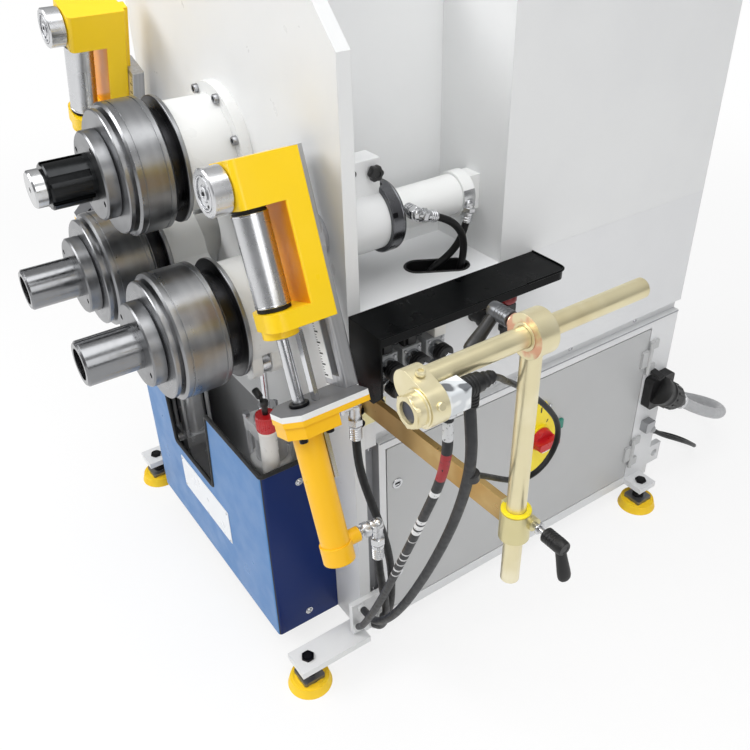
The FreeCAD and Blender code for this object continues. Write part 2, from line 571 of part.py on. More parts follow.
def make_guide(side, sign, lift):
    """One side guide; lift is how far its carriage stands above the middle of its travel."""
    def keep(name, pieces, raised):
        placed = [guide_place(piece, raised) for piece in pieces]
        add(side + name, *(placed if sign > 0 else [mirrored(piece) for piece in placed]))

    keep("_slideway", [guide_slideway()], 0.0)
    keep("_lift_cylinder", [lift_cylinder()], 0.0)
    if sign > 0:
        elbows = [hose_elbow(GUIDE_HOSE_UPPER[0], UPPER_ELBOW), hose_elbow(GUIDE_HOSE_LOWER[0], LOWER_ELBOW)]
        solids[side + "_lift_cylinder"] = joined([solids[side + "_lift_cylinder"]] + elbows)
    keep("_guide_bracket", [guide_bracket()], lift)
    keep("_lift_rod", lift_rod(), lift)
    keep("_guide_roller", [guide_roller()], lift)
    keep("_front_wheel", [front_wheel()], lift)


def make_ram_housings():
    """White guide tubes behind the front plate, and the small cylinders that push the rams."""
    back = PLATE_FRONT + PLATE_THICK
    x, z = RAM_X, RAM_Z
    guide = bar((x, back, z), ALONG_Y, RAM_TUBE_RADIUS, RAM_TUBE_END - back)
    collar = bar((x, RAM_TUBE_END - 24, z), ALONG_Y, RAM_TUBE_RADIUS + 7, 24)
    guide = joined([guide, collar]).cut(bar((x, back - 1, z), ALONG_Y, RAM_RADIUS + RUN_CLEAR, 200))
    add("guide_tubes", guide, mirrored(guide))
    front, end = RAM_TUBE_END, RAM_CYLINDER_END
    barrel = bar((x, front, z), ALONG_Y, 38, end - front)
    neck = bar((x, front, z), ALONG_Y, 47, 12)
    cap = bar((x, end - 26, z), ALONG_Y, 43, 26)
    ports = [bar((x + 25, y, z + h), ALONG_X, 10, reach)
             for y, h, reach in ((front + 22, FRONT_PORT_H, 41), (end - 13, REAR_PORT_H, 17))]
    ferrules = [bar((x + 66, front + 22, z + FRONT_PORT_H), FRONT_FERRULE, 9, 44.6),
                bar((x + 42, end - 13, z + REAR_PORT_H), REAR_FERRULE, 9, 34.7)]
    stand = block(x - 20, x + 20, end, RECESS_BACK, z - 34, z + 34)
    cylinder = joined([barrel, neck, cap, stand] + ports + ferrules)
    cylinder = cylinder.cut(bar((x, front - 1, z), ALONG_Y, 16 + RUN_CLEAR, 146))
    add("ram_cylinders", cylinder, mirrored(cylinder))


# ---------------------------------------------------------------- frame
PLATE_BACK = PLATE_FRONT + PLATE_THICK
CABINET_FRONT = PLATE_BACK + COLUMN_STEP


def kidney(radius):
    """Curved slot in the front plate that a lower shaft sweeps as its arm swings."""
    reach = math.hypot(LOWER_AXIS_X - PIVOT_X, LOWER_AXIS_Z - PIVOT_Z)
    start = math.degrees(math.atan2(LOWER_AXIS_Z - PIVOT_Z, LOWER_AXIS_X - PIVOT_X))
    front, depth = PLATE_FRONT - 1, PLATE_THICK + 2
    band = tube((PIVOT_X, front, PIVOT_Z), ALONG_Y, reach + radius, reach - radius, depth)
    wedge_size = 2 * (reach + radius)
    points = [(PIVOT_X, front, PIVOT_Z)]
    for angle in (start, start + SWING_DEGREES / 2, start + SWING_DEGREES):
        turn = math.radians(angle)
        points.append((PIVOT_X + wedge_size * math.cos(turn), front, PIVOT_Z + wedge_size * math.sin(turn)))
    sector = band.common(plate(points, ALONG_Y, depth))
    ends = []
    for angle in (start, start + SWING_DEGREES):
        turn = math.radians(angle)
        ends.append(bar((PIVOT_X + reach * math.cos(turn), front, PIVOT_Z + reach * math.sin(turn)),
                        ALONG_Y, radius, depth))
    return joined([sector] + ends)


def make_front_plate():
    w = FRAME_HALF_WIDTH
    corner = 70.0
    outline = [(-w, PLATE_FRONT, FLOOR_GAP), (w, PLATE_FRONT, FLOOR_GAP), (w, PLATE_FRONT, PLATE_TOP - corner),
               (w - corner, PLATE_FRONT, PLATE_TOP), (corner - w, PLATE_FRONT, PLATE_TOP),
               (-w, PLATE_FRONT, PLATE_TOP - corner)]
    slab = plate(outline, ALONG_Y, PLATE_THICK)
    hole = kidney(THROAT_RADIUS + 4)
    front, depth = PLATE_FRONT - 1, PLATE_THICK + 2
    slab = cut(slab, hole, mirrored(hole), bar((0, front, UPPER_AXIS_Z), ALONG_Y, JOURNAL_RADIUS + 12, depth))
    for sign in (-1, 1):
        slab = slab.cut(bar((sign * RAM_X, front, RAM_Z), ALONG_Y, RAM_RADIUS + RUN_CLEAR, depth))
    pins = [bar((sign * PIVOT_X, BEARING_FRONT, PIVOT_Z), ALONG_Y, PIVOT_PIN_RADIUS, PLATE_FRONT - BEARING_FRONT + 1)
            for sign in (-1, 1)]
    shelf = block(-300, 300, 150, PLATE_FRONT + 1, FLOOR_GAP, FLOOR_GAP + 12)
    lug = foot_lug(FOOT_FRONT_X - 34, FOOT_FRONT_X + 34, FOOT_FRONT_Y - 32, PLATE_FRONT + 1, FOOT_FRONT_X,
                   FOOT_FRONT_Y)
    add("front_plate", joined([slab, shelf, lug, mirrored(lug)] + pins + hose_bulkhead()))


def hose_bulkhead():
    """Block on the plate's right edge with a ferrule for each hose that ends there."""
    w = FRAME_HALF_WIDTH
    pieces = [block(w - 1, w + 12, 240, 322, FLOOR_GAP + 28, FLOOR_GAP + 118)]
    for route, diameter in ((GUIDE_HOSE_UPPER, HOSE_DIAMETER), (GUIDE_HOSE_LOWER, HOSE_DIAMETER),
                            (SENSOR_HOSE, RECESS_HOSE_DIAMETER), (SENSOR_SLEEVE, HOSE_DIAMETER)):
        inward = V(*route[-1]) - V(*route[-2])
        inward.normalize()
        reach = (route[-1][0] - w - 8) / -inward.x
        pieces.append(bar(route[-1], inward, diameter / 2 + 2, reach))
    return pieces


def make_upper_housing():
    """Bearing housing of the upper shaft on the front plate, and its drive behind the plate."""
    z = UPPER_AXIS_Z
    housing = bar((0, BEARING_FRONT, z), ALONG_Y, BEARING_HOUSING_RADIUS, PLATE_FRONT - BEARING_FRONT)
    flange = bar((0, PLATE_FRONT - 22, z), ALONG_Y, BEARING_HOUSING_RADIUS + 22, 22)
    housing = joined([housing, flange])
    housing = housing.cut(bar((0, BEARING_FRONT - 1, z), ALONG_Y, JOURNAL_RADIUS + RUN_CLEAR, 150))
    drive = bar((0, PLATE_BACK, z), ALONG_Y, DRIVE_RADIUS + 24, 60)
    motor = bar((0, PLATE_BACK + 60, z), ALONG_Y, DRIVE_RADIUS, DRIVE_LENGTH - 60)
    add("upper_bearing_housing", housing, joined([drive, motor]))


def foot_lug(x0, x1, y0, y1, hole_x, hole_y):
    """Welded lug with the hole for a levelling screw."""
    lug = block(x0, x1, y0, y1, FLOOR_GAP + 6, FLOOR_GAP + 22)
    return lug.cut(bar((hole_x, hole_y, FLOOR_GAP), ALONG_Z, 9, 40))


def make_base_frame():
    """Welded base: flat sheets and thick members, with the cabinet on its right side."""
    w, t, inner, low, deck, top = FRAME_HALF_WIDTH, SHEET, RECESS_INNER, FLOOR_GAP, DECK_HEIGHT, RECESS_FLOOR
    cell = CABINET_INNER - t
    side = block(-w, t - w, PLATE_BACK, REAR_END, low, top)
    right_side = block(w - t, w, RECESS_BACK - t, REAR_END, deck, top)
    sheets = [block(t - w, cell, PLATE_BACK, PLATE_BACK + t, low, deck - t),
              block(t - w, cell, REAR_END - t, REAR_END, low, deck - t),
              block(t - w, cell, PLATE_BACK, REAR_END, deck - t, deck),
              block(t - w, w - t, REAR_END - t, REAR_END, deck, top),
              block(t - w, w - t, RECESS_BACK - t, RECESS_BACK + t, deck, top),
              block(-inner, t - inner, PLATE_BACK, RECESS_BACK - t, deck, top),
              block(t - w, -inner, PLATE_BACK, PLATE_BACK + t, deck, top),
              block(t - w, -inner, PLATE_BACK + t, RECESS_BACK - t, top - t, top)]

    hose_slot = hull_plate([(HOSE_SLOT_X - 18, HOSE_SLOT_FRONT, HOSE_SLOT_RADIUS),
                            (HOSE_SLOT_X + 18, HOSE_SLOT_BACK, HOSE_SLOT_RADIUS)], 0, HOSE_SLOT_DEPTH + 1)
    hose_slot.rotate(V(0, 0, 0), ALONG_X, 90)
    hose_slot = hose_slot.mirror(V(0, 0, 0), ALONG_Y).translated(V(0, 0, top - HOSE_SLOT_DEPTH))
    shoulder = block(inner - t, w, PLATE_BACK, RECESS_BACK - t, deck, top).cut(hose_slot)

    step = block(w - 24, w + 1, PLATE_BACK - 1, CABINET_FRONT, low - 1, CABINET_TOP)
    vent = block(w - VENT_DEPTH, w + 1, CABINET_FRONT - 5, REAR_END + 1, CABINET_TOP, CABINET_TOP + VENT_GAP)
    rebate = block(w - DOOR_THICK - BODY_GAP, w + 1, DOOR_FRONT - DOOR_GAP, DOOR_BACK + DOOR_GAP,
                   DOOR_BOTTOM - DOOR_GAP, DOOR_TOP + DOOR_GAP)
    front, back = DOOR_FRONT + DOOR_LIP, DOOR_BACK - DOOR_LIP
    floor, head = DOOR_BOTTOM + DOOR_LIP, DOOR_TOP - DOOR_LIP
    front_post = cut(block(cell, w, PLATE_BACK, front, low, deck), step, vent, rebate)
    rear_post = cut(block(cell, w, back, REAR_END, low, deck), vent, rebate)
    cabinet = [block(cell, w, front, back, low, floor).cut(rebate),
               cut(block(cell, w, front, back, head, deck), vent, rebate),
               block(cell, cell + t, front, back, floor, head)]

    eye = block(w - EYE_THICK, w, REAR_END - 1, REAR_END + 44, low + 30, low + 90)
    eye = eye.cut(bar((w - EYE_THICK - 1, REAR_END + 22, low + 60), ALONG_X, 11, EYE_THICK + 2))
    lug = foot_lug(w - t, FOOT_X + 26, FOOT_REAR_Y - 30, FOOT_REAR_Y + 30, FOOT_X, FOOT_REAR_Y)
    side = joined([side, mirrored(eye), mirrored(lug)])
    rear_post = joined([rear_post, eye, lug])
    for z in HINGE_LEVELS:
        for low_end in (z - 24 - BODY_GAP, z + KNUCKLE_HEIGHT + BODY_GAP):
            rear_post = rear_post.fuse(block(w - 1, HINGE_X, HINGE_Y, HINGE_Y + 26, low_end, low_end + 24))
            rear_post = rear_post.fuse(bar((HINGE_X, HINGE_Y, low_end), ALONG_Z, HINGE_RADIUS, 24))
    add("base_frame", side, right_side, shoulder, front_post, rear_post, *sheets, *cabinet)


def make_upper_casing():
    """Welded upper casing of flat sheets: narrow core between the guide recesses, wide housing behind."""
    w, t, inner, low = FRAME_HALF_WIDTH, SHEET, RECESS_INNER, RECESS_FLOOR
    core_roof, roof, wall = PLATE_TOP - t, HOUSING_TOP - t, RECESS_BACK + t
    core_side = block(inner - t, inner, PLATE_BACK, wall, low, core_roof)
    wing = block(inner, w - t, RECESS_BACK, wall, low, roof)
    side = block(w - t, w, RECESS_BACK, REAR_END, low, HOUSING_TOP)
    sheets = [block(-inner, inner, PLATE_BACK, RECESS_BACK, core_roof, PLATE_TOP),
              block(-inner, inner, RECESS_BACK, wall, core_roof, roof),
              block(t - w, w - t, REAR_END - t, REAR_END, low, roof),
              block(t - w, w - t, RECESS_BACK, REAR_END, roof, HOUSING_TOP)]
    add("upper_casing", core_side, mirrored(core_side), wing, mirrored(wing), side, mirrored(side), *sheets)


def make_front_cover():
    """Blue sheet cover: a front with a notch and two returning sides."""
    w, s, top = COVER_HALF_WIDTH, COVER_SHEET, COVER_TOP
    shell = round_edges(block(-w, w, COVER_FRONT, PLATE_FRONT + 60, FLOOR_GAP, top), 9, ALONG_Z)
    inside = round_edges(block(s - w, w - s, COVER_FRONT + s, PLATE_FRONT + 61, FLOOR_GAP - 1, top + 1), 6, ALONG_Z)
    trim_back = block(-w - 1, w + 1, PLATE_FRONT, PLATE_FRONT + 62, 0, top + 10)
    notch_points = [(NOTCH_LEFT - 8, COVER_FRONT - 1, top + 1), (NOTCH_LEFT + 12, COVER_FRONT - 1, NOTCH_BOTTOM),
                    (NOTCH_RIGHT - 12, COVER_FRONT - 1, NOTCH_BOTTOM), (NOTCH_RIGHT + 8, COVER_FRONT - 1, top + 1)]
    notch = plate(notch_points, ALONG_Y, s + 4)
    add("front_cover", cut(shell, inside, trim_back, notch))


def make_feet():
    stems, pads = [], []
    for x, y in ((FOOT_FRONT_X, FOOT_FRONT_Y), (FOOT_X, FOOT_REAR_Y)):
        for sign in (-1, 1):
            screw = bar((sign * x, y, FOOT_PAD_HEIGHT), ALONG_Z, 8, FOOT_SCREW_TOP - FOOT_PAD_HEIGHT)
            shoe = block(sign * x - 26, sign * x + 26, y - 26, y + 26, FOOT_PAD_HEIGHT, FOOT_PAD_HEIGHT + 10)
            shoe = round_edges(shoe, 5, ALONG_Z)
            nut = bar((sign * x, y, FOOT_PAD_HEIGHT + 10), ALONG_Z, 15, 12)
            stems.append(joined([screw, shoe, nut]))
            pad = Part.makeCone(FOOT_PAD_RADIUS + 6, FOOT_PAD_RADIUS, FOOT_PAD_HEIGHT, V(sign * x, y, 0))
            pads.append(pad)
    add("levelling_feet", *stems)
    add("foot_pads", *pads)


def make_cabinet_door():
    w = FRAME_HALF_WIDTH
    panel = block(w - DOOR_THICK, w, DOOR_FRONT, DOOR_BACK, DOOR_BOTTOM, DOOR_TOP)
    panel = round_edges(panel, 5, ALONG_X)
    hollow = block(w - DOOR_THICK - 1, w - 4, DOOR_FRONT + 24, DOOR_BACK - 24, DOOR_BOTTOM + 24, DOOR_TOP - 24)
    shaft_hole = bar((w - 6, SWITCH_Y, SWITCH_Z), ALONG_X, 9 + RUN_CLEAR, 10)
    knuckles = []
    for z in HINGE_LEVELS:
        knuckles.append(bar((HINGE_X, HINGE_Y, z), ALONG_Z, HINGE_RADIUS, KNUCKLE_HEIGHT))
        knuckles.append(block(w, HINGE_X, HINGE_Y - 26, HINGE_Y, z, z + KNUCKLE_HEIGHT))
    add("cabinet_door", joined([cut(panel, hollow, shaft_hole)] + knuckles))
    outline = [(-14, 96), (14, 96), (60, 22), (64, -66), (38, -98), (-38, -98), (-64, -66), (-60, 22)]
    base = plate([(w, SWITCH_Y + u, SWITCH_Z + v) for u, v in outline], ALONG_X, 5)
    hub = bar((w + 5, SWITCH_Y, SWITCH_Z), ALONG_X, 34, 6)
    add("switch_base", joined([base, hub]).cut(bar((w - 1, SWITCH_Y, SWITCH_Z), ALONG_X, 9 + RUN_CLEAR, 20)))
    front = w + 11 + BODY_GAP
    disc = Part.makeCone(30, 27, 14, V(front, SWITCH_Y, SWITCH_Z), ALONG_X)
    grip = round_edges(block(front + 10, front + 32, SWITCH_Y - 31, SWITCH_Y + 31, SWITCH_Z - 10, SWITCH_Z + 10), 6, ALONG_X)
    spindle = bar((w - DOOR_THICK + 10, SWITCH_Y, SWITCH_Z), ALONG_X, 9, front - w + DOOR_THICK)
    add("switch_handle", joined([disc, grip, spindle]))


def make_power_pack():
    """Oil tank on the cabinet floor, with the pump motor standing on it."""
    floor, x, y = DOOR_BOTTOM + DOOR_LIP, CABINET_INNER + SHEET, DOOR_FRONT + 33
    lid = floor + TANK_HEIGHT
    tank = round_edges(block(x, x + TANK_WIDTH, y, y + TANK_LENGTH, floor, lid), 8, ALONG_Z)
    motor = bar((x + TANK_WIDTH / 2, y + 2.8 * PUMP_RADIUS, lid), ALONG_Z, PUMP_RADIUS, TANK_HEIGHT)
    filler = bar((x + TANK_WIDTH / 2, y + TANK_LENGTH - 2.8 * PUMP_RADIUS, lid), ALONG_Z, 24, 34)
    add("power_pack", joined([tank, motor, filler]))


def make_valves():
    """Black hood bracketed to the frame, with the solenoid valve block under it."""
    w, s = FRAME_HALF_WIDTH, HOOD_SHEET
    out, top, low = w + HOOD_REACH, RECESS_FLOOR, RECESS_FLOOR - HOOD_DROP
    roof = round_edges(block(w, out, HOOD_FRONT, HOOD_BACK, top - 18, top), 1.5, ALONG_Y)
    corner = block(out - HOOD_CORNER, out + 1, HOOD_BACK - HOOD_CORNER, HOOD_BACK + 1, top - 19, top + 1)
    corner = corner.cut(bar((out - HOOD_CORNER, HOOD_BACK - HOOD_CORNER, top - 20), ALONG_Z, HOOD_CORNER, 22))
    under = block(w - 1, out - s, HOOD_FRONT + s, HOOD_BACK - s, top - 19, top - s)
    under_corner = block(out - HOOD_CORNER, out, HOOD_BACK - HOOD_CORNER, HOOD_BACK, top - 20, top)
    under = under.cut(under_corner.cut(bar((out - HOOD_CORNER, HOOD_BACK - HOOD_CORNER, top - 21), ALONG_Z,
                                           HOOD_CORNER - s, 22)))
    roof = cut(roof, corner, under)
    cheek = plate([(w, HOOD_FRONT, top), (out, HOOD_FRONT, top), (out, HOOD_FRONT, low + 26),
                   (out - 26, HOOD_FRONT, low), (w, HOOD_FRONT, low)], ALONG_Y, s)
    ledge = block(w, w + s, HOOD_FRONT, HOOD_BACK, top - 30, top)
    add("valve_hood", joined([roof, cheek, ledge]))
    base = 742.0
    manifold = block(w, w + 58, VALVE_FRONT, VALVE_FRONT + 3 * VALVE_PITCH + 6, base, base + 34)
    valves, coils = [], []
    for k in range(3):
        y = VALVE_FRONT + 8 + VALVE_PITCH * k
        valves.append(block(w + 8, w + 52, y, y + 42, base + 34, base + 80))
        coils.append(bar((w + 52, y + 21, base + 57), ALONG_X, 17, 32))
        valves.append(bar((w + 58, y + 21, base + 17), ALONG_X, 11, 24))
    add("valve_block", joined([manifold] + valves + coils))


def make_support_arm():
    """Zinc-plated arm: wall bar with a clamp collar, upright rod and the collar on its top."""
    w, x, y, z = FRAME_HALF_WIDTH, ARM_ROD_X, ARM_BAR_Y, ARM_BAR_Z
    half, thick = ARM_BAR_HEIGHT / 2, ARM_BAR_THICK / 2
    wall = round_edges(block(w, w + 8, y - 24, CABINET_FRONT + 14, z - 62, z + 10), 3, ALONG_X)
    end, end_z = x - ARM_COLLAR_RADIUS + 6, ARM_COLLAR_Z + 8
    beam = plate([(w + 7, y - thick, z - half), (end, y - thick, end_z - half), (end, y - thick, end_z + half),
                  (w + 7, y - thick, z + half)], ALONG_Y, 2 * thick)
    z = ARM_COLLAR_Z
    collar = bar((x, y, z - ARM_COLLAR_HEIGHT / 2), ALONG_Z, ARM_COLLAR_RADIUS, ARM_COLLAR_HEIGHT)
    boss = bar((x + 12, y + LEVER_OFFSET, z + 8), ALONG_X, 11, ARM_COLLAR_RADIUS - 8)
    rod_hole = bar((x, y, z - 60), ALONG_Z, ARM_ROD_RADIUS + RUN_CLEAR, 120)
    screw_hole = bar((x + 10, y + LEVER_OFFSET, z + 8), ALONG_X, LEVER_SPINDLE_RADIUS + RUN_CLEAR, 60)
    add("support_bar", cut(joined([wall, beam, collar, boss]), rod_hole, screw_hole))

    rod_z = CROSS_ROD_Z
    start = y - CROSS_COLLAR_WIDTH / 2
    head = bar((x, start, rod_z), ALONG_Y, CROSS_COLLAR_RADIUS, CROSS_COLLAR_WIDTH)
    upright = bar((x, y, ARM_ROD_BOTTOM), ALONG_Z, ARM_ROD_RADIUS, rod_z - ARM_ROD_BOTTOM)
    add("upright_rod", cut(upright, head))
    boss = bar((x - CROSS_COLLAR_RADIUS - 6, y, rod_z), ALONG_X, 12, 20)
    clamp = cut(joined([head, boss]),
                bar((x, start - 1, rod_z), ALONG_Y, CROSS_ROD_RADIUS + RUN_CLEAR, CROSS_COLLAR_WIDTH + 2),
                bar((x - 60, y, rod_z), ALONG_X, LEVER_SPINDLE_RADIUS + RUN_CLEAR, 60))
    add("cross_clamp", clamp)
    add("cross_rod", bar((x, CROSS_ROD_FRONT, rod_z), ALONG_Y, CROSS_ROD_RADIUS, CROSS_ROD_BACK - CROSS_ROD_FRONT))


def make_sensor():
    """Holder clamped on the front end of the cross rod, with the sensor and its plug through it."""
    x, z = SENSOR_X, SENSOR_Z
    front, back = HOLDER_FRONT, HOLDER_FRONT + HOLDER_DEPTH
    holder = hull_plate([(ARM_ROD_X, CROSS_ROD_Z, CROSS_ROD_RADIUS + 7), (x, z, SENSOR_RADIUS + 12)], front, back - front)
    nose = bar((x, front - 16, z), ALONG_Y, SENSOR_RADIUS + 6, 17)
    holder = cut(joined([holder, nose]),
                 bar((ARM_ROD_X, CROSS_ROD_FRONT, CROSS_ROD_Z), ALONG_Y, CROSS_ROD_RADIUS + RUN_CLEAR, back),
                 bar((x, front - 30, z), ALONG_Y, SENSOR_RADIUS + RUN_CLEAR, 200))
    add("sensor_holder", holder)
    probe = bar((x, front - 14, z), ALONG_Y, SENSOR_RADIUS, back - front + 26)
    plug = round_edges(block(x - 12, x + 20, back + 1, back + 36, z - 18, z + 16), 4, ALONG_Y)
    outlet = bar((x, SENSOR_HOSE[0][1], z - 30), ALONG_Z, 9, 14)
    boot = bar((x, back + 35, z), ALONG_Y, 13, 30)
    tail = Part.makeCone(11, 7, BOOT_END - back - 64, V(x, back + 64, z - 1), ALONG_Y)
    neck = bar((x, BOOT_Y, z - 26), ALONG_Z, 10.5, 26)
    add("sensor", joined([probe, plug, outlet, boot, tail, neck]))


def clamp_lever(start, direction, spindle_length, handle_direction, reach):
    """Clamp lever: threaded spindle, hub and tapered handle with a round end."""
    hub_length = 38.0
    spindle = bar(start, direction, LEVER_SPINDLE_RADIUS, spindle_length + 1)
    hub_start = V(*start) + direction * spindle_length
    hub = Part.makeCylinder(11, hub_length, hub_start, direction)
    root = hub_start + direction * (hub_length - 10)
    handle = Part.makeCone(7.5, 6, reach, root, handle_direction)
    tip = Part.makeSphere(7.5, root + handle_direction * reach)
    return joined([spindle, hub, handle, tip])


def make_levers():
    x, y = ARM_ROD_X, ARM_BAR_Y
    tilt = math.radians(72)
    start = (x + ARM_ROD_RADIUS + BODY_GAP, y + LEVER_OFFSET, ARM_COLLAR_Z + 8)
    add("lower_clamp_lever", clamp_lever(start, ALONG_X, 36, V(math.cos(tilt), 0, -math.sin(tilt)), 50))
    start = (x - CROSS_ROD_RADIUS - BODY_GAP, y, CROSS_ROD_Z)
    slope = math.radians(44)
    add("upper_clamp_lever", clamp_lever(start, -ALONG_X, 27, V(0, -math.cos(slope), -math.sin(slope)), 60))


def make_lubricator():
    """Grease cartridge on a bracket in the front trough, with its cap and outlet stem."""
    x, y = LUBRICATOR_X, LUBRICATOR_Y
    tube_low, tube_high = LUBRICATOR_LOW, LUBRICATOR_HIGH
    bracket = block(x - 14, x + 14, y, PLATE_FRONT, tube_low - 12, tube_low)
    body = bar((x, y, tube_low), ALONG_Z, 18, tube_high - tube_low)
    cap = bar((x, y, tube_high), ALONG_Z, 20, LUBRICATOR_CAP)
    stem = bar((x, y, tube_high + LUBRICATOR_CAP), ALONG_Z, 6, 24)
    add("lubricator", joined([bracket, body, cap, stem]))


def make_cable_inlets():
    """Angled power plug on its socket, and a plain gland below it, on the right side."""
    w = FRAME_HALF_WIDTH
    socket = round_edges(block(w, w + 26, PLUG_Y - 44, PLUG_Y + 40, PLUG_Z - 42, PLUG_Z + 48), 12, ALONG_X)
    down = PLUG_LEAN
    hood = bar((w + 28, PLUG_Y - 18, PLUG_Z + 14), down, 35, 78)
    neck_start = V(w + 28, PLUG_Y - 18, PLUG_Z + 14) + down * 78
    neck = Part.makeCone(30, 19, 54, neck_start, down)
    side = cut(hood, block(w - 60, w, PLUG_Y - 200, PLUG_Y + 200, 0, 900))
    box = round_edges(block(w, w + 22, GLAND_Y - 16, GLAND_Y + 16, GLAND_Z - 16, GLAND_Z + 16), 3, ALONG_X)
    gland = bar((w + 11, GLAND_Y, GLAND_Z), GLAND_LEAN, 9, 36)
    rear = [bar((x, REAR_END, z), ALONG_Y, radius, 30 - BODY_GAP) for x, z, radius in REAR_GLANDS]
    add("cable_inlets", joined([socket, side, neck]), joined([box, gland]), *rear)


# ---------------------------------------------------------------- hoses and cables
def cord(name, points, diameter, start_seat=None, end_seat=None):
    """A tube of straight runs joined by tangent arcs, as large as the runs allow.

    A seat is the direction that the face under the tube's end looks in; the end is trimmed to it.
    """
    spots = [V(*p) for p in points]
    edges, start = [], spots[0]
    length, tightest = 0.0, 1e9
    for k in range(1, len(spots) - 1):
        before, here, after = spots[k - 1], spots[k], spots[k + 1]
        run_in, run_out = here - before, after - here
        turn = run_in.getAngle(run_out)
        shorter = min(run_in.Length, run_out.Length)
        radius = 0.45 * shorter / math.tan(turn / 2)
        setback = 0.45 * shorter
        enter = here - run_in.normalize() * setback
        leave = here + run_out.normalize() * setback
        to_mid = (enter + leave) * 0.5 - here
        middle = here + to_mid.normalize() * (radius / math.cos(turn / 2) - radius)
        edges += [Part.LineSegment(start, enter).toShape(), Part.Arc(enter, middle, leave).toShape()]
        length += (enter - start).Length + radius * turn
        tightest = min(tightest, radius)
        start = leave
    edges.append(Part.LineSegment(start, spots[-1]).toShape())
    length += (spots[-1] - start).Length
    path = Part.Wire(edges)
    section = Part.Wire([Part.Circle(spots[0], spots[1] - spots[0], diameter / 2).toShape()])
    swept = path.makePipeShell([section], True, False)
    expected = math.pi * diameter ** 2 / 4 * length
    print(name, "length %.0f" % length, "tightest radius %.0f" % tightest, "= %.1f diameters" % (tightest / diameter),
          "volume ratio %.4f" % (swept.Volume / expected), "turn points", len(spots))
    for spot, seat in ((spots[0], start_seat), (spots[-1], end_seat)):
        if seat:
            seat = V(seat).normalize()
            swept = swept.cut(bar(spot - seat * 2 * diameter, seat, 1.2 * diameter, 2 * diameter + BODY_GAP))
    add(name, swept)


def make_cords():
    down = V(0, 0, -1)
    cord("guide_hose_upper", GUIDE_HOSE_UPPER, HOSE_DIAMETER, down)
    cord("guide_hose_lower", GUIDE_HOSE_LOWER, HOSE_DIAMETER, down)
    cord("recess_hose_front", RECESS_HOSE_FRONT, RECESS_HOSE_DIAMETER, FRONT_FERRULE, ALONG_Z)
    cord("recess_hose_rear", RECESS_HOSE_REAR, RECESS_HOSE_DIAMETER, REAR_FERRULE, ALONG_Z)
    cord("sensor_hose", SENSOR_HOSE, RECESS_HOSE_DIAMETER, down)
    cord("sensor_cable_sleeve", SENSOR_SLEEVE, HOSE_DIAMETER, down)
    cord("loop_cable", LOOP_CABLE, LOOP_DIAMETER, ALONG_Y)
    cord("power_conduit", POWER_CONDUIT, CONDUIT_DIAMETER, PLUG_LEAN, ALONG_Y)
    cord("rear_cable", REAR_CABLE, REAR_CABLE_DIAMETER, GLAND_LEAN, ALONG_Y)


# ---------------------------------------------------------------- assembly
CORD_NODES = ["guide_hose_upper", "guide_hose_lower", "recess_hose_front", "recess_hose_rear", "sensor_hose",
              "sensor_cable_sleeve", "loop_cable", "power_conduit", "rear_cable"]


def build():
    make_upper_shaft()
    for side, sign in (("right", 1), ("left", -1)):
        make_lower_shaft(side, sign)
        make_swing_arm(side, sign)
    make_swing_cylinders()
    make_guide("right", 1, 0.0)
    make_guide("left", -1, LIFT_UP)
    make_ram_housings()
    make_front_plate()
    make_upper_housing()
    make_base_frame()
    make_upper_casing()
    make_front_cover()
    make_feet()
    make_cabinet_door()
    make_power_pack()
    make_valves()
    make_support_arm()
    make_sensor()
    make_levers()
    make_lubricator()
    make_cable_inlets()
    make_cords()


def footprint_shift():
    """From the drawing's zero to the middle of the footprint, cords left out."""
    rigid = Part.makeCompound([shape for name, shape in solids.items() if name not in CORD_NODES])
    bounds = rigid.optimalBoundingBox(False)
    return V(-(bounds.XMin + bounds.XMax) / 2, -(bounds.YMin + bounds.YMax) / 2, -bounds.ZMin)


build()
shift = footprint_shift()
print("shift", shift)
os.makedirs("parts", exist_ok=True)
for name, shape in solids.items():
    shape.translated(shift).exportStep("parts/%s.step" % name)
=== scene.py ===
"""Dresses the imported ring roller: finishes, fittings, hoses, camera and light."""

import json
import math

import bmesh
import bpy
from mathutils import Matrix, Vector


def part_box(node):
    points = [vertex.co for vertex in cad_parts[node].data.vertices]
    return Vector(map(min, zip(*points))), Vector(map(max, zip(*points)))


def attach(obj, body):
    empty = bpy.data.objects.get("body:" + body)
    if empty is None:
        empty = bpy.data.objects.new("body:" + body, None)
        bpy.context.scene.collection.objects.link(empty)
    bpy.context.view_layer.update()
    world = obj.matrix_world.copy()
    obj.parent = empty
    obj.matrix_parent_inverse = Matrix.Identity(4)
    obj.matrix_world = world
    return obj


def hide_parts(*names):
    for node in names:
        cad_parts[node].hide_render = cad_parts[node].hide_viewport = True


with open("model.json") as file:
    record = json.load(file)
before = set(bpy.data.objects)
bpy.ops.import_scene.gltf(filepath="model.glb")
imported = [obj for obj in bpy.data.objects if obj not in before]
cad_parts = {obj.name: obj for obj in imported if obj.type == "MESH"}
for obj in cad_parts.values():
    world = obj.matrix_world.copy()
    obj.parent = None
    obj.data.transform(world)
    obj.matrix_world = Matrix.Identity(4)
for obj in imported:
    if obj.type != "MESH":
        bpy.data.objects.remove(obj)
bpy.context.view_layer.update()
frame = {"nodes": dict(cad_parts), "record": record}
nodes = frame["nodes"]

# From the machine's own frame to the row frame, in millimetres: the shift that part.py prints
SHIFT = Vector((-161.6283826800704, -577.0, 0.0))
AX, AY, AZ = Vector((1, 0, 0)), Vector((0, 1, 0)), Vector((0, 0, 1))

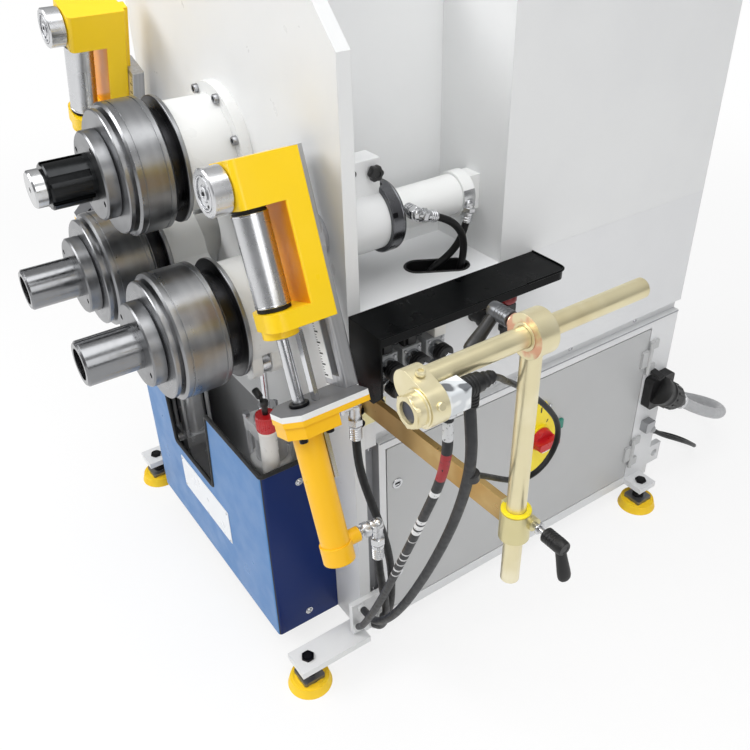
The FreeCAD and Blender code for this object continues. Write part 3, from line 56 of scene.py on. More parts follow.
# Faces, axes and levels of the machine that the dressing stands on, in millimetres
SIDE_X = 430
REAR_Y = 1225
DECK_Z = 892
UPPER_ROLL_Z = 1078
PIN_X, PIN_Z = 46, 772
CARTRIDGE_X, CARTRIDGE_Y = 295, 156
SWITCH_FACE_X = 435
COIL_Z, PORT_Z = 799, 759
HOOD_CREST_Z = 892.5
SENSOR_X, SENSOR_Z = 877, 1042
CROSS_ROD_Z = 1055
LOWER_LEVER_Y, LOWER_LEVER_Z = 306, 729

# The side guides: their slideway leans, and the left one stands higher than the right one
LEAN = math.radians(20)
GUIDE_U = Vector((math.cos(LEAN), 0, math.sin(LEAN)))
GUIDE_W = Vector((-math.sin(LEAN), 0, math.cos(LEAN)))
GUIDE_ZERO = Vector((413, 0, 1044))
LEFT_LIFT = 130.0


def place(x, y, z):
    """Machine millimetres to row-frame metres."""
    return (Vector((x, y, z)) + SHIFT) / 1000


def on_guide(u, y, w):
    """A point by the leaning right slideway: u across it, w up along it, in machine millimetres."""
    return GUIDE_ZERO + GUIDE_U * u + AY * y + GUIDE_W * w


# ---------------------------------------------------------------- finishes

def srgb(r, g, b):
    def channel(c):
        c /= 255
        return c / 12.92 if c <= 0.04045 else ((c + 0.055) / 1.055) ** 2.4
    return (channel(r), channel(g), channel(b), 1.0)


class Finish:
    """A principled material with procedural layers over it."""

    def __init__(self, name, colour, roughness, metallic=0.0, **sockets):
        self.material = bpy.data.materials.new(name)
        self.material.use_nodes = True
        self.tree = self.material.node_tree
        self.shader = self.tree.nodes["Principled BSDF"]
        self.colour = srgb(*colour)
        self.shader.inputs["Base Color"].default_value = self.colour
        self.shader.inputs["Roughness"].default_value = roughness
        self.shader.inputs["Metallic"].default_value = metallic
        for key, value in sockets.items():
            self.shader.inputs[key.replace("_", " ")].default_value = value
        self.material.diffuse_color = self.colour
        self.roughness = roughness
        self.position = self.add("ShaderNodeTexCoord").outputs["Object"]
        split = self.add("ShaderNodeSeparateXYZ")
        self.tree.links.new(self.position, split.inputs[0])
        self.levels = split.outputs
        self.normal = None

    def add(self, kind, **settings):
        node = self.tree.nodes.new(kind)
        for key, value in settings.items():
            setattr(node, key, value)
        return node

    def feed(self, socket, value):
        if isinstance(value, bpy.types.NodeSocket):
            self.tree.links.new(value, socket)
        else:
            socket.default_value = value

    def math(self, operation, a, b=0.0, clamp=False):
        node = self.add("ShaderNodeMath", operation=operation, use_clamp=clamp)
        self.feed(node.inputs[0], a)
        self.feed(node.inputs[1], b)
        return node.outputs[0]

    def vector(self, operation, a, b=(0, 0, 0)):
        node = self.add("ShaderNodeVectorMath", operation=operation)
        self.feed(node.inputs[0], a)
        self.feed(node.inputs[1], b)
        return node.outputs["Value"] if operation in ("DOT_PRODUCT", "LENGTH") else node.outputs[0]

    def span(self, value, low, high, to_low=0.0, to_high=1.0, smooth=True):
        node = self.add("ShaderNodeMapRange", interpolation_type="SMOOTHSTEP" if smooth else "LINEAR")
        self.feed(node.inputs["Value"], value)
        for key, number in zip(("From Min", "From Max", "To Min", "To Max"),
                (low, high, to_low, to_high)):
            node.inputs[key].default_value = number
        return node.outputs["Result"]

    def noise(self, scale, detail=3.0, roughness=0.55, vector=None):
        node = self.add("ShaderNodeTexNoise")
        self.feed(node.inputs["Vector"], vector or self.position)
        node.inputs["Scale"].default_value = scale
        node.inputs["Detail"].default_value = detail
        node.inputs["Roughness"].default_value = roughness
        return node.outputs["Fac"]

    def mix(self, mask, a, b):
        node = self.add("ShaderNodeMix", data_type="RGBA")
        self.feed(node.inputs["Factor"], mask)
        self.feed(node.inputs[6], a)
        self.feed(node.inputs[7], b)
        return node.outputs[2]

    def tint(self, mask, colour):
        """Lays colour over what is there, where mask is 1."""
        self.colour = self.mix(mask, self.colour, srgb(*colour) if len(colour) == 3 else colour)
        self.feed(self.shader.inputs["Base Color"], self.colour)
        return self

    def rough(self, mask, low, high):
        self.feed(self.shader.inputs["Roughness"], self.span(mask, 0.25, 0.75, low, high))
        return self

    def within(self, soft=0.2, **spans):
        """A mask that is 1 inside a box in machine millimetres, as x=(low, high); None leaves an end open."""
        mask = None
        for name, ends in spans.items():
            for edge, (a, b) in zip(ends, ((0, 1), (1, 0))):
                if edge is None:
                    continue
                level = (edge + SHIFT["xyz".index(name)]) / 1000
                step = self.span(self.levels[name.upper()], level - soft / 1000, level + soft / 1000, a,
                    b)
                mask = step if mask is None else self.math("MULTIPLY", mask, step)
        return mask

    def stretch(self, value, low, high, soft):
        """A mask that is 1 where value lies between low and high, with soft ends."""
        rising = self.span(value, low - soft, low + soft)
        falling = self.span(value, high - soft, high + soft, 1, 0)
        return self.math("MULTIPLY", rising, falling)

    def either(self, a, b):
        return self.math("MAXIMUM", a, b)

    def metal(self, mask, amount, roughness=None):
        """Makes the masked area metal, with its own roughness."""
        was = self.shader.inputs["Metallic"].default_value
        self.feed(self.shader.inputs["Metallic"], self.span(mask, 0, 1, was, amount, False))
        if roughness is not None:
            socket = self.shader.inputs["Roughness"]
            before = socket.links[0].from_socket if socket.links else socket.default_value
            blend = self.add("ShaderNodeMix", data_type="FLOAT")
            self.feed(blend.inputs["Factor"], mask)
            self.feed(blend.inputs[2], before)
            self.feed(blend.inputs[3], roughness)
            self.feed(socket, blend.outputs[0])
        return self

    def edge(self, radius=0.0012):
        """Softens the sharp edges of the sheet and machined work."""
        node = self.add("ShaderNodeBevel", samples=4)
        node.inputs["Radius"].default_value = radius
        if self.normal:
            self.feed(node.inputs["Normal"], self.normal)
        self.normal = node.outputs[0]
        return self

    def bump(self, height, strength, distance):
        node = self.add("ShaderNodeBump")
        node.inputs["Strength"].default_value = strength
        node.inputs["Distance"].default_value = distance
        self.feed(node.inputs["Height"], height)
        if self.normal:
            self.feed(node.inputs["Normal"], self.normal)
        self.normal = node.outputs[0]
        return self

    def done(self):
        if self.normal:
            self.feed(self.shader.inputs["Normal"], self.normal)
        return self.material


def paint(name, colour, dark, roughness=0.36, peel=0.12, coat=0.0, grime=0.5, areas=None, gloss=0.45):
    """Sprayed enamel: faint orange peel and a cloudy film, with areas of another finish."""
    f = Finish(name, colour, roughness, Coat_Weight=coat, Coat_Roughness=0.12, Specular_IOR_Level=gloss)
    f.tint(f.span(f.noise(5.0, 4.0), 0.35, 0.8, 0, grime), dark)
    f.rough(f.noise(18.0, 4.0), roughness - 0.07, roughness + 0.09)
    if areas:
        areas(f)
    f.edge()
    f.bump(f.noise(620.0, 2.0), peel, 0.0004)
    f.bump(f.noise(9.0, 1.0), 0.05, 0.004)
    return f.done()


def turned(name, colour, point, along, roughness=0.3, light=None, dark=None, ring=1.0, bands=()):
    """Lathe-turned metal: concentric tool marks about an axis, with bands of other finishes along it."""
    f = Finish(name, colour, roughness, 1.0)
    away = f.vector("SUBTRACT", f.position, place(*point))
    reach = f.vector("DOT_PRODUCT", away, along)
    scaled = f.add("ShaderNodeVectorMath", operation="SCALE")
    scaled.inputs[0].default_value = along
    f.feed(scaled.inputs["Scale"], reach)
    radius = f.vector("LENGTH", f.vector("SUBTRACT", away, scaled.outputs[0]))
    lathe = f.add("ShaderNodeCombineXYZ")
    f.feed(lathe.inputs[0], radius)
    f.feed(lathe.inputs[1], reach)
    fine = f.noise(1400.0, 2.0, 0.6, lathe.outputs[0])
    broad = f.noise(70.0, 2.0, 0.5, lathe.outputs[0])
    stain = f.noise(24.0, 5.0, 0.65)
    if light:
        f.tint(f.span(broad, 0.35, 0.8, 0, 0.3), light)
    if dark:
        f.tint(f.span(stain, 0.45, 0.8, 0, 0.3), dark)
    for low, high, shade in bands:
        f.tint(f.stretch(reach, low, high, 0.0004), shade)
    f.rough(f.math("ADD", f.math("MULTIPLY", broad, 0.6), f.math("MULTIPLY", stain, 0.4)),
        roughness - 0.05, roughness + 0.08)
    f.edge(0.0009)
    f.bump(fine, 0.03 * ring, 0.0003)
    return f.done()


def polished(name, colour, dark, roughness, metallic=1.0):
    """Plain bright metal: a faint film and fine scuffs, with no direction of its own."""
    f = Finish(name, colour, roughness, metallic)
    f.tint(f.span(f.noise(34.0, 4.0), 0.45, 0.8, 0, 0.5), dark)
    f.rough(f.noise(30.0, 2.0), roughness - 0.03, roughness + 0.04)
    f.edge(0.0007)
    return f.done()


def slideway(side):
    """Milled slideway: streaks along its length, and a plain white rule with ticks."""
    f = Finish(f"{side}_slideway_steel", (184, 185, 188), 0.34, 0.72)
    sign = 1 if side == "right" else -1
    along = Vector((GUIDE_W.x * sign, 0, GUIDE_W.z))
    across = Vector((GUIDE_U.x * sign, 0, GUIDE_U.z))
    away = f.vector("SUBTRACT", f.position, place(GUIDE_ZERO.x * sign, 0, GUIDE_ZERO.z))
    level = f.vector("DOT_PRODUCT", away, along)
    reach = f.vector("DOT_PRODUCT", away, across)
    strip = f.add("ShaderNodeCombineXYZ")
    f.feed(strip.inputs[0], f.math("MULTIPLY", reach, 60.0))
    f.feed(strip.inputs[1], f.math("MULTIPLY", f.levels["Y"], 60.0))
    f.feed(strip.inputs[2], level)
    streak = f.noise(3.0, 4.0, 0.6, strip.outputs[0])
    f.tint(f.span(streak, 0.35, 0.7, 0, 0.5), (150, 151, 154))
    f.tint(f.span(streak, 0.62, 0.8, 0, 0.5), (216, 217, 219))
    f.rough(streak, 0.28, 0.42)
    front = f.within(y=(212, 213.9))

    def band(value, low, high):
        return f.stretch(value, low / 1000, high / 1000, 0.0002)

    rule = f.math("MULTIPLY", front, f.math("MULTIPLY", band(level, -244, 140), band(reach, -62, -35)))
    f.tint(rule, (238, 238, 236))
    f.metal(rule, 0.0, 0.4)
    for pitch, width, short in ((0.005, 0.0014, -56), (0.02, 0.003, -49)):
        phase = f.math("FLOORED_MODULO", level, pitch)
        tick = f.math("MULTIPLY", f.math("LESS_THAN", phase, width), band(reach, -61, short))
        f.tint(f.math("MULTIPLY", rule, tick), (34, 34, 36))
    # Below its top edge the flange is not metal; its top face is dark grey as painted reflection, then the
    # flange is white, and yellow in its lower part
    flange = f.span(level, -0.2533, -0.2537)
    f.tint(flange, (104, 105, 108))
    f.tint(f.span(level, -0.2546, -0.2550), (232, 233, 232))
    f.tint(f.span(level, -0.2648, -0.2652), (250, 192, 22))
    f.metal(flange, 0.0, 0.4)
    f.edge(0.001)
    return f.done()


def plated(name, colour, warm, pale, roughness=0.24, areas=None):
    """Yellow-passivated zinc: cream and straw drift into each other, with a faint rainbow haze."""
    f = Finish(name, colour, roughness, 0.78)
    stretched = f.vector("MULTIPLY", f.position, (1.0, 1.0, 0.35))
    f.tint(f.span(f.noise(9.0, 3.0, 0.5, stretched), 0.42, 0.75, 0, 0.6), warm)
    f.tint(f.span(f.noise(14.0, 2.0), 0.5, 0.75, 0, 0.6), pale)
    f.rough(f.noise(30.0, 2.0), roughness - 0.03, roughness + 0.08)
    if areas:
        areas(f)
    f.edge(0.0008)
    return f.done()


def moulded(name, colour, roughness, grain=0.1, scale=900.0, dust=None, areas=None, lift=12, **sockets):
    """Moulded plastic or rubber with a fine grain and a little dust."""
    f = Finish(name, colour, roughness, **sockets)
    lighter = tuple(min(255, c + lift) for c in colour)
    f.tint(f.span(f.noise(30.0, 4.0), 0.45, 0.8), lighter)
    if dust:
        f.tint(f.span(f.noise(12.0, 6.0), 0.55, 0.85, 0, 0.35), dust)
    f.rough(f.noise(70.0, 3.0), roughness - 0.06, roughness + 0.1)
    if areas:
        areas(f)
    f.edge(0.0007)
    f.bump(f.noise(scale, 2.0), grain, 0.0004)
    return f.done()


# Near-black: the own colour of the lubricator's top fitting, and painted shade inside the hose slot
BLACK_AND_SHADE = (22, 22, 23)


def frame_areas(f):
    """Grey channels round the cabinet, recessed ones with painted shade; painted shade in the hose slot."""
    # Painted shade: the channel recessed beside the front post is darkened
    f.tint(f.within(x=(405, 431), y=(295, 327.6), z=(60, 584.5)), (146, 147, 150))
    # Painted shade: the recessed vent strip under the casing is a little darker than the body
    f.tint(f.within(x=(415, 429.4), y=(322, 1226), z=(583.6, 612.4)), (214, 215, 216))
    f.tint(f.within(x=(430.4, 450), y=(1128, 1170), z=(120, 540)), (188, 189, 189))
    # Painted shade: the inside of the hose slot in the deck is near-black
    f.tint(f.within(x=(322, 417), y=(455, 572), z=(820, 891.3)), BLACK_AND_SHADE)


def plate_areas(f):
    """Painted shade on the shelf and plate inside the front cover."""
    f.tint(f.within(2.0, x=(-324, 324), y=(116, 270.6), z=(58, 470)), (70, 71, 74))


def cover_areas(f):
    """Painted shade: the cover's inside is dark grey, and both its sides are darker blues than its front."""
    # Painted shade: the right side, which faces away from the light, is the deepest blue
    f.tint(f.within(x=(325.5, 330)), (3, 36, 98))
    # Painted shade: the left side is a darker blue than the front
    f.tint(f.within(x=(-330, -325.5)), (56, 104, 170))
    # Painted shade: the inside faces of the cover are dark grey
    f.tint(f.within(x=(-326.2, 326.2), y=(114.6, 271)), (50, 51, 54))


def bare_metal(colour, amount, roughness, *boxes):
    """Areas of bare metal: every box of spans becomes metal of one colour."""
    def areas(f):
        mask = f.within(**boxes[0])
        for box in boxes[1:]:
            mask = f.either(mask, f.within(**box))
        f.tint(mask, colour)
        f.metal(mask, amount, roughness)
    return areas


FITTING_ZINC = (200, 201, 202)
LEVER_STEEL = (196, 196, 198)
ram_areas = bare_metal(FITTING_ZINC, 1.0, 0.26, {"x": (379, None)}, {"x": (None, -379)})
lift_areas = bare_metal(FITTING_ZINC, 1.0, 0.26, {"y": (172, None)})
lower_lever_areas = bare_metal(LEVER_STEEL, 1.0, 0.25, {"x": (None, 899.3)})
upper_lever_areas = bare_metal(LEVER_STEEL, 1.0, 0.25, {"x": (805.7, None)})
# The lower gland on the right side is nickel-plated
inlet_areas = bare_metal((170, 171, 173), 0.8, 0.3, {"x": (425, None), "z": (None, 285)})


def lubricator_areas(f):
    f.tint(f.within(z=(None, 615.6)), (222, 221, 218))
    f.tint(f.within(z=(652.2, None)), BLACK_AND_SHADE)
    f.tint(f.within(z=(None, 455.3)), (150, 151, 153))


def sensor_areas(f):
    """Slate sensing face, and a plug body in mottled greys that stand for clear plastic."""
    f.tint(f.within(y=(None, 84)), (50, 54, 68))
    plug = f.within(y=(112.6, 148.4), z=(1023, None))
    inside = f.noise(38.0, 1.0, 0.5)
    f.tint(plug, (206, 210, 213))
    f.tint(f.math("MULTIPLY", plug, f.span(inside, 0.52, 0.62)), (238, 240, 241))
    f.tint(f.math("MULTIPLY", plug, f.span(inside, 0.40, 0.34)), (104, 107, 111))
    f.metal(plug, 0.0, 0.09)


def feet_areas(f):
    f.tint(f.within(z=(32.5, None)), (36, 36, 38))


def bracket_areas(f):
    """Painted reflection: the wall behind the guide roller, between the yellow faces, is tinted orange."""
    facing = f.add("ShaderNodeSeparateXYZ")
    f.feed(facing.inputs[0], f.add("ShaderNodeTexCoord").outputs["Normal"])
    front = f.span(facing.outputs["Y"], -0.8, -0.95)
    # Painted reflection: orange from yellow light bounced between the yellow faces, on faces that look to the
    # front
    f.tint(f.math("MULTIPLY", f.within(0.3, y=(169.0, 171.0)), front), (250, 162, 14))


def valve_areas(f):
    """Bright coil tubes with black coil ends; the manifold stays aluminium."""
    coils = f.within(x=(497, None), z=(770, None))
    f.tint(coils, (16, 16, 17))
    f.metal(f.within(x=(482.3, 496.7)), 1.0, 0.25)


def clamp_areas(f):
    """Pink heat tint on the boss and the front ring of the upper clamp."""
    f.tint(f.within(x=(None, 824)), (224, 176, 150))
    f.tint(f.math("MULTIPLY", f.within(y=(None, 276.6)), f.span(f.noise(30.0), 0.4, 0.6)),
        (222, 170, 140))


def bar_areas(f):
    """The bar is plated darker, the collar and the wall plate paler."""
    collar = f.within(x=(822, None))
    plate = f.within(x=(None, 438.6))
    f.tint(f.either(collar, plate), (214, 204, 156))


BODY = paint("body_enamel", (229, 230, 230), (222, 223, 224), 0.36)
FRAME = paint("frame_enamel", (226, 227, 228), (219, 220, 222), 0.36, areas=frame_areas)
PLATE = paint("plate_enamel", (229, 230, 230), (221, 222, 223), 0.34, areas=plate_areas)
HOUSING = paint("housing_enamel", (226, 227, 226), (218, 219, 219), 0.32)
DOOR = paint("door_enamel", (188, 189, 189), (182, 183, 184), 0.36)
COVER = paint("cover_enamel", (82, 132, 188), (74, 124, 182), 0.34, peel=0.015, gloss=0.2,
    areas=cover_areas)
SIGNAL = paint("signal_yellow_enamel", (249, 208, 20), (246, 200, 16), 0.34, coat=0.1, peel=0.03,
    areas=bracket_areas)
CYLINDER = paint("cylinder_enamel", (250, 192, 22), (246, 184, 18), 0.34, coat=0.1)
LIFT = paint("lift_cylinder_enamel", (250, 192, 22), (246, 184, 18), 0.34, areas=lift_areas)
RAM = paint("ram_cylinder_enamel", (230, 231, 230), (222, 223, 222), 0.34, areas=ram_areas)
HOOD = paint("hood_enamel", (3, 4, 5), (5, 6, 7), 0.3, peel=0.02, gloss=0.1)
VALVES = paint("valve_casting", (176, 178, 180), (150, 152, 154), 0.34, peel=0.1, areas=valve_areas)
CAST = paint("casting_paint", (196, 197, 197), (176, 177, 178), 0.42, peel=0.5)
LUBE = moulded("lubricator_polymer", (196, 24, 32), 0.3, 0.04, areas=lubricator_areas)
ZINC = plated("passivated_zinc", (228, 218, 180), (208, 190, 142), (244, 238, 214), 0.31)
FEET = plated("foot_zinc", (128, 129, 132), (112, 112, 114), (150, 151, 153), 0.34, areas=feet_areas)
BRASSY = plated("passivated_bar", (190, 158, 100), (172, 128, 72), (212, 186, 130), 0.3, areas=bar_areas)
CLAMP = plated("heat_tinted_zinc", (228, 218, 180), (208, 190, 142), (244, 238, 214), 0.31,
    areas=clamp_areas)
BRIGHT = polished("bright_zinc", (204, 205, 207), (168, 169, 171), 0.26)
CHROME = polished("hard_chrome", (214, 215, 218), (186, 187, 190), 0.15)
BRUSHED = polished("brushed_chrome", (212, 213, 215), (196, 197, 199), 0.27)
STEEL = polished("screw_steel", (160, 161, 164), (120, 121, 123), 0.3)
DARK_STEEL = polished("oiled_steel", (104, 105, 108), (66, 66, 68), 0.24)
# Black oxide on screws and nuts; the same black is painted shade for the small holes in the wheel's face
BLACKENED_AND_HOLE_SHADE = polished("black_oxide_and_hole_shade", (38, 38, 40), (28, 28, 29), 0.34)
# Painted sheen: a light grey, only partly metal, so the swing cylinder barrels look bright in the shaded
# trough
BARREL = polished("barrel_painted_sheen", (226, 227, 229), (196, 197, 199), 0.24, 0.35)
# Painted reflection: a steel nut tinted red-brown for the yellow it reflects
REFLECTION_TINTED_NUT = plated("nut_painted_reflection", (196, 112, 62), (170, 84, 40), (214, 150, 90), 0.3)
BLACK = moulded("black_polymer", (15, 15, 16), 0.42, lift=8)
SENSOR = moulded("sensor_housing", (15, 15, 16), 0.36, lift=6, areas=sensor_areas)
LOWER_LEVER = moulded("lever_polymer", (24, 24, 26), 0.4, areas=lower_lever_areas)
UPPER_LEVER = moulded("lever_polymer_worn", (20, 20, 22), 0.4, areas=upper_lever_areas)
RUBBER = moulded("black_rubber", (13, 13, 14), 0.55, 0.2, 500.0, dust=(40, 40, 40), lift=8)
RED = moulded("red_polymer", (196, 24, 32), 0.3, 0.04)
DEEP_RED = moulded("deep_red_polymer", (120, 10, 16), 0.32, 0.04)
GREEN = moulded("green_polymer", (38, 128, 110), 0.34, 0.05)
YELLOW = moulded("yellow_polymer", (250, 226, 30), 0.34, 0.05)
PAD = moulded("yellow_pad_rubber", (253, 208, 30), 0.5, 0.2, 500.0)
GREY_HUB = polished("knurled_hub", (112, 114, 117), (70, 71, 74), 0.36)
INLETS = moulded("inlet_polymer", (15, 15, 16), 0.42, lift=8, areas=inlet_areas)
GREY = moulded("grey_polymer", (150, 152, 155), 0.42)
CONDUIT = moulded("conduit_polymer", (178, 179, 181), 0.38)
PALE = moulded("pale_polymer", (232, 230, 224), 0.4, 0.05)
WHITE_PLATE = paint("bare_badge_enamel", (240, 242, 244), (236, 238, 241), 0.3, peel=0.01)


# ---------------------------------------------------------------- mesh helpers (millimetres, machine frame)

def basis(axis):
    axis = Vector(axis).normalized()
    side = AZ.cross(axis)
    if side.length < 1e-4:
        side = AX.copy()
    side.normalize()
    return side, axis.cross(side), axis


def circle(radius, n=40, turn=0.0):
    return [(radius * math.cos(2 * math.pi * k / n + turn), radius * math.sin(2 * math.pi * k / n + turn))
        for k in range(n)]


def polygon(across, sides=6, n=48, turn=0.0):
    """n points on the outline of a regular polygon, across flats."""
    points = []
    for k in range(n):
        a = 2 * math.pi * k / n
        step = 2 * math.pi / sides
        off = (a + step / 2) % step - step / 2
        r = across / 2 / math.cos(off)
        points.append((r * math.cos(a + turn), r * math.sin(a + turn)))
    return points


def oblong(width, depth, radius, n=6):
    """Outline of a rounded rectangle centred on the axis."""
    points = []
    for k, (sx, sy) in enumerate(((1, 1), (-1, 1), (-1, -1), (1, -1))):
        for j in range(n + 1):
            a = math.pi / 2 * (k + j / n)
            points.append((sx * (width / 2 - radius) + radius * math.cos(a),
                sy * (depth / 2 - radius) + radius * math.sin(a)))
    return points


def loft(bm, origin, axis, sections, caps=(True, True), up=None):
    """Skins a run of outlines; each section is (distance along the axis, outline)."""
    if up is None:
        u, v, w = basis(axis)
    else:
        w = Vector(axis).normalized()
        u = (Vector(up) - Vector(up).dot(w) * w).normalized()
        v = w.cross(u)
    origin = Vector(origin)
    rows = []
    for distance, outline in sections:
        rows.append([bm.verts.new(place(*(origin + u * a + v * b + w * distance))) for a, b in outline])
    for low, high in zip(rows, rows[1:]):
        n = len(low)
        for k in range(n):
            bm.faces.new((low[k], low[(k + 1) % n], high[(k + 1) % n], high[k]))
    if caps[0]:
        bm.faces.new(list(reversed(rows[0])))
    if caps[1]:
        bm.faces.new(rows[-1])
    return rows


def lathe(bm, origin, axis, profile, n=40, caps=(True, True)):
    """Turns a profile of (distance, radius) about the axis."""
    return loft(bm, origin, axis, [(t, circle(r, n)) for t, r in profile], caps)


def slab(bm, origin, axis, width, depth, height, radius=1.0, up=None, edge=0.6):
    """A flat plate with rounded corners and eased edges, standing on its base point."""
    big, small = oblong(width, depth, radius), oblong(width - 2 * edge, depth - 2 * edge,
        max(radius - edge, 0.2))
    loft(bm, origin, axis, [(0, small), (edge, big), (height - edge, big), (height, small)], up=up)


def socket_screw(bm, origin, axis, d, height=None, deep=0.55):
    """Cap screw head with its hexagon socket."""
    h = height or d
    r = d * 0.78
    n = 36
    loft(bm, origin, axis, [(0, circle(r, n)), (h * 0.86, circle(r, n)), (h, circle(r * 0.9, n)),
        (h, polygon(d * 0.86, 6, n)), (h * (1 - deep), polygon(d * 0.84, 6, n))])


def button_screw(bm, origin, axis, d):
    n = 36
    r = d * 0.9
    loft(bm, origin, axis, [(0, circle(r, n)), (d * 0.12, circle(r, n)), (d * 0.36, circle(r * 0.82, n)),
        (d * 0.5, circle(r * 0.5, n)), (d * 0.5, polygon(d * 0.62, 6, n)),
        (d * 0.2, polygon(d * 0.6, 6, n))])


def hex_nut(bm, origin, axis, across, height, hole=None):
    n = 48
    r = across / 2
    flat = polygon(across, 6, n)
    low = [(a * 0.97, b * 0.97) for a, b in circle(r * 1.04, n)]
    sections = [(0, low), (height * 0.1, flat), (height * 0.9, flat), (height, low)]
    if hole:
        sections += [(height, circle(hole, n)), (height * 0.3, circle(hole * 0.95, n))]
    loft(bm, origin, axis, sections)


def piece(name, finish, body, build, smooth=40.0, mirror=False):
    """Makes one object from a function that fills a bmesh, and lets it ride on a body."""
    bm = bmesh.new()
    build(bm)
    if mirror:
        for vertex in bm.verts:
            vertex.co.x = 2 * SHIFT.x / 1000 - vertex.co.x
    bmesh.ops.recalc_face_normals(bm, faces=bm.faces)
    mesh = bpy.data.meshes.new(name)
    bm.to_mesh(mesh)
    bm.free()
    mesh.shade_smooth()
    mesh.set_sharp_from_angle(angle=math.radians(smooth))
    mesh.materials.append(finish)
    obj = bpy.data.objects.new(name, mesh)
    bpy.context.scene.collection.objects.link(obj)
    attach(obj, body)
    return obj


def pair(name, finish, body, build, smooth=40.0):
    """The same piece on the right and mirrored on the left; body is frame, or a name without its side."""
    for side in ("right", "left"):
        piece(f"{side}_{name}", finish, body if body == "frame" else f"{side}_{body}", build,
            smooth, side == "left")


def line(name, points, diameter, finish, body, order=3):
    """A round cable, hose or trim on a smooth line through machine-frame points."""
    curve = bpy.data.curves.new(name, "CURVE")
    curve.dimensions = "3D"
    curve.bevel_depth = diameter / 2000
    curve.bevel_resolution = 6
    curve.resolution_u = 10
    curve.use_fill_caps = True
    spline = curve.splines.new("NURBS")
    spline.points.add(len(points) - 1)
    for target, point in zip(spline.points, points):
        target.co = (*place(*point), 1.0)
    spline.order_u = order
    spline.use_endpoint_u = True
    spline.use_smooth = True
    curve.materials.append(finish)
    obj = bpy.data.objects.new(name, curve)
    bpy.context.scene.collection.objects.link(obj)
    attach(obj, body)
    return obj


# ---------------------------------------------------------------- cords

def hose_finish(name, colour, bands=(), roughness=0.5, weave=0.25):
    """Braid-covered hose rubber with plain painted bands at given levels (mm above the floor)."""
    f = Finish(name, colour, roughness, Specular_IOR_Level=0.3)
    f.tint(f.span(f.noise(60.0, 3.0), 0.45, 0.8, 0, 0.6), tuple(c + 10 for c in colour))
    level = f.levels["Z"]
    for low, high, shade in bands:
        inside = f.stretch(level, low / 1000, high / 1000, 0.0006)
        worn = f.math("MULTIPLY", inside, f.span(f.noise(240.0, 3.0), 0.3, 0.42))
        f.tint(worn, shade)
    f.rough(f.noise(90.0, 3.0), roughness - 0.08, roughness + 0.1)
    f.bump(f.noise(700.0, 2.0), weave, 0.0005)
    return f.done()


HOSE = hose_finish("hydraulic_hose", (13, 13, 14))
HOSE_MARKED = hose_finish("coolant_hose", (34, 35, 37), [(974, 1004, (206, 207, 208)),
    (896, 950, (158, 44, 50)), (856, 868, (222, 222, 222)), (776, 786, (226, 226, 226)),
    (759, 771, (226, 226, 226)), (742, 754, (226, 226, 226)), (716, 719, (190, 190, 190)),
    (668, 672, (206, 206, 206)), (648, 653, (206, 206, 206)), (628, 632, (206, 206, 206)),
    (604, 610, (206, 206, 206)), (584, 588, (206, 206, 206))])
HOSE_GREY = hose_finish("cable_sleeve", (44, 45, 47), weave=0.12)
CABLE = hose_finish("cable_sheath", (12, 12, 13), roughness=0.42, weave=0.06)

GUIDE_HOSE_UPPER = [(511, 226, 700), (511, 227, 656), (513, 234, 604), (517, 247, 546), (521, 263, 484),
    (522, 278, 420), (519, 290, 354), (513, 297, 290), (504, 302, 232), (492, 306, 182), (474, 310, 140),
    (452, 313, 110)]
GUIDE_HOSE_LOWER = [(589, 214, 478), (589, 216, 441), (585, 223, 398), (576, 234, 350), (562, 247, 298),
    (545, 259, 246), (524, 270, 196), (500, 279, 152), (475, 286, 118), (450, 291, 96)]
RECESS_HOSE_FRONT = [(406, 479, 1015), (408, 497, 1007), (410, 518, 993), (410, 536, 971),
    (407, 546, 943), (401, 549, 912), (394, 548, 884), (387, 545, 857), (385, 543.5, 832)]
RECESS_HOSE_REAR = [(382, 570, 972), (381, 564, 949), (377, 552, 925), (369, 535, 904), (360, 515, 888),
    (353, 499, 868), (350, 489, 849), (349, 484, 832)]
SENSOR_HOSE = [(877, 130, 1012), (878, 131, 976), (871, 133, 930), (855, 136, 880), (833, 139, 828),
    (803, 144, 760), (768, 150, 682), (729, 157, 598), (688, 165, 510), (645, 174, 424), (600, 186, 342),
    (560, 200, 276), (524, 216, 220), (494, 230, 176), (470, 241, 143), (450, 249, 117)]
SENSOR_SLEEVE = [(877, 163, 1016), (880, 165, 980), (876, 172, 934), (862, 182, 878), (837, 193, 806),
    (803, 203, 718), (760, 209, 614), (714, 213, 512), (665, 217, 412), (613, 224, 324), (564, 234, 258),
    (524, 244, 213), (490, 254, 185), (456, 261, 169)]
LOOP_CABLE = [(877, 200, 1040), (868, 222, 1024), (850, 246, 1000), (829, 276, 974), (819, 308, 947),
    (816, 341, 915), (815, 373, 880), (814, 397, 846), (813, 405, 813), (813, 398, 786), (814, 378, 766),
    (815, 351, 759), (817, 322, 767), (820, 291.5, 786), (828, 257, 814), (840, 225, 842),
    (853, 194, 869)]
POWER_CONDUIT = [(458, 1276, 301), (459, 1320, 268), (459, 1368, 234), (459, 1418, 202), (457, 1471, 171),
    (436, 1530, 141), (396, 1579, 112), (343, 1611, 85), (284, 1622, 62), (225, 1611, 46),
    (172, 1579, 38), (132, 1530, 37), (111, 1471, 45), (109, 1412, 60), (110, 1360, 80), (112, 1319, 97),
    (113, 1285, 109), (113, 1255, 116)]
REAR_CABLE = [(441, 1204, 227), (443, 1228, 206), (447, 1262, 182), (452, 1304, 156), (454, 1352, 124),
    (448, 1400, 88), (432, 1440, 54), (404, 1470, 28), (368, 1484, 14), (330, 1480, 8), (296, 1460, 8),
    (270, 1426, 16), (254, 1384, 32), (246, 1338, 54), (243, 1294, 74), (242, 1255, 84)]

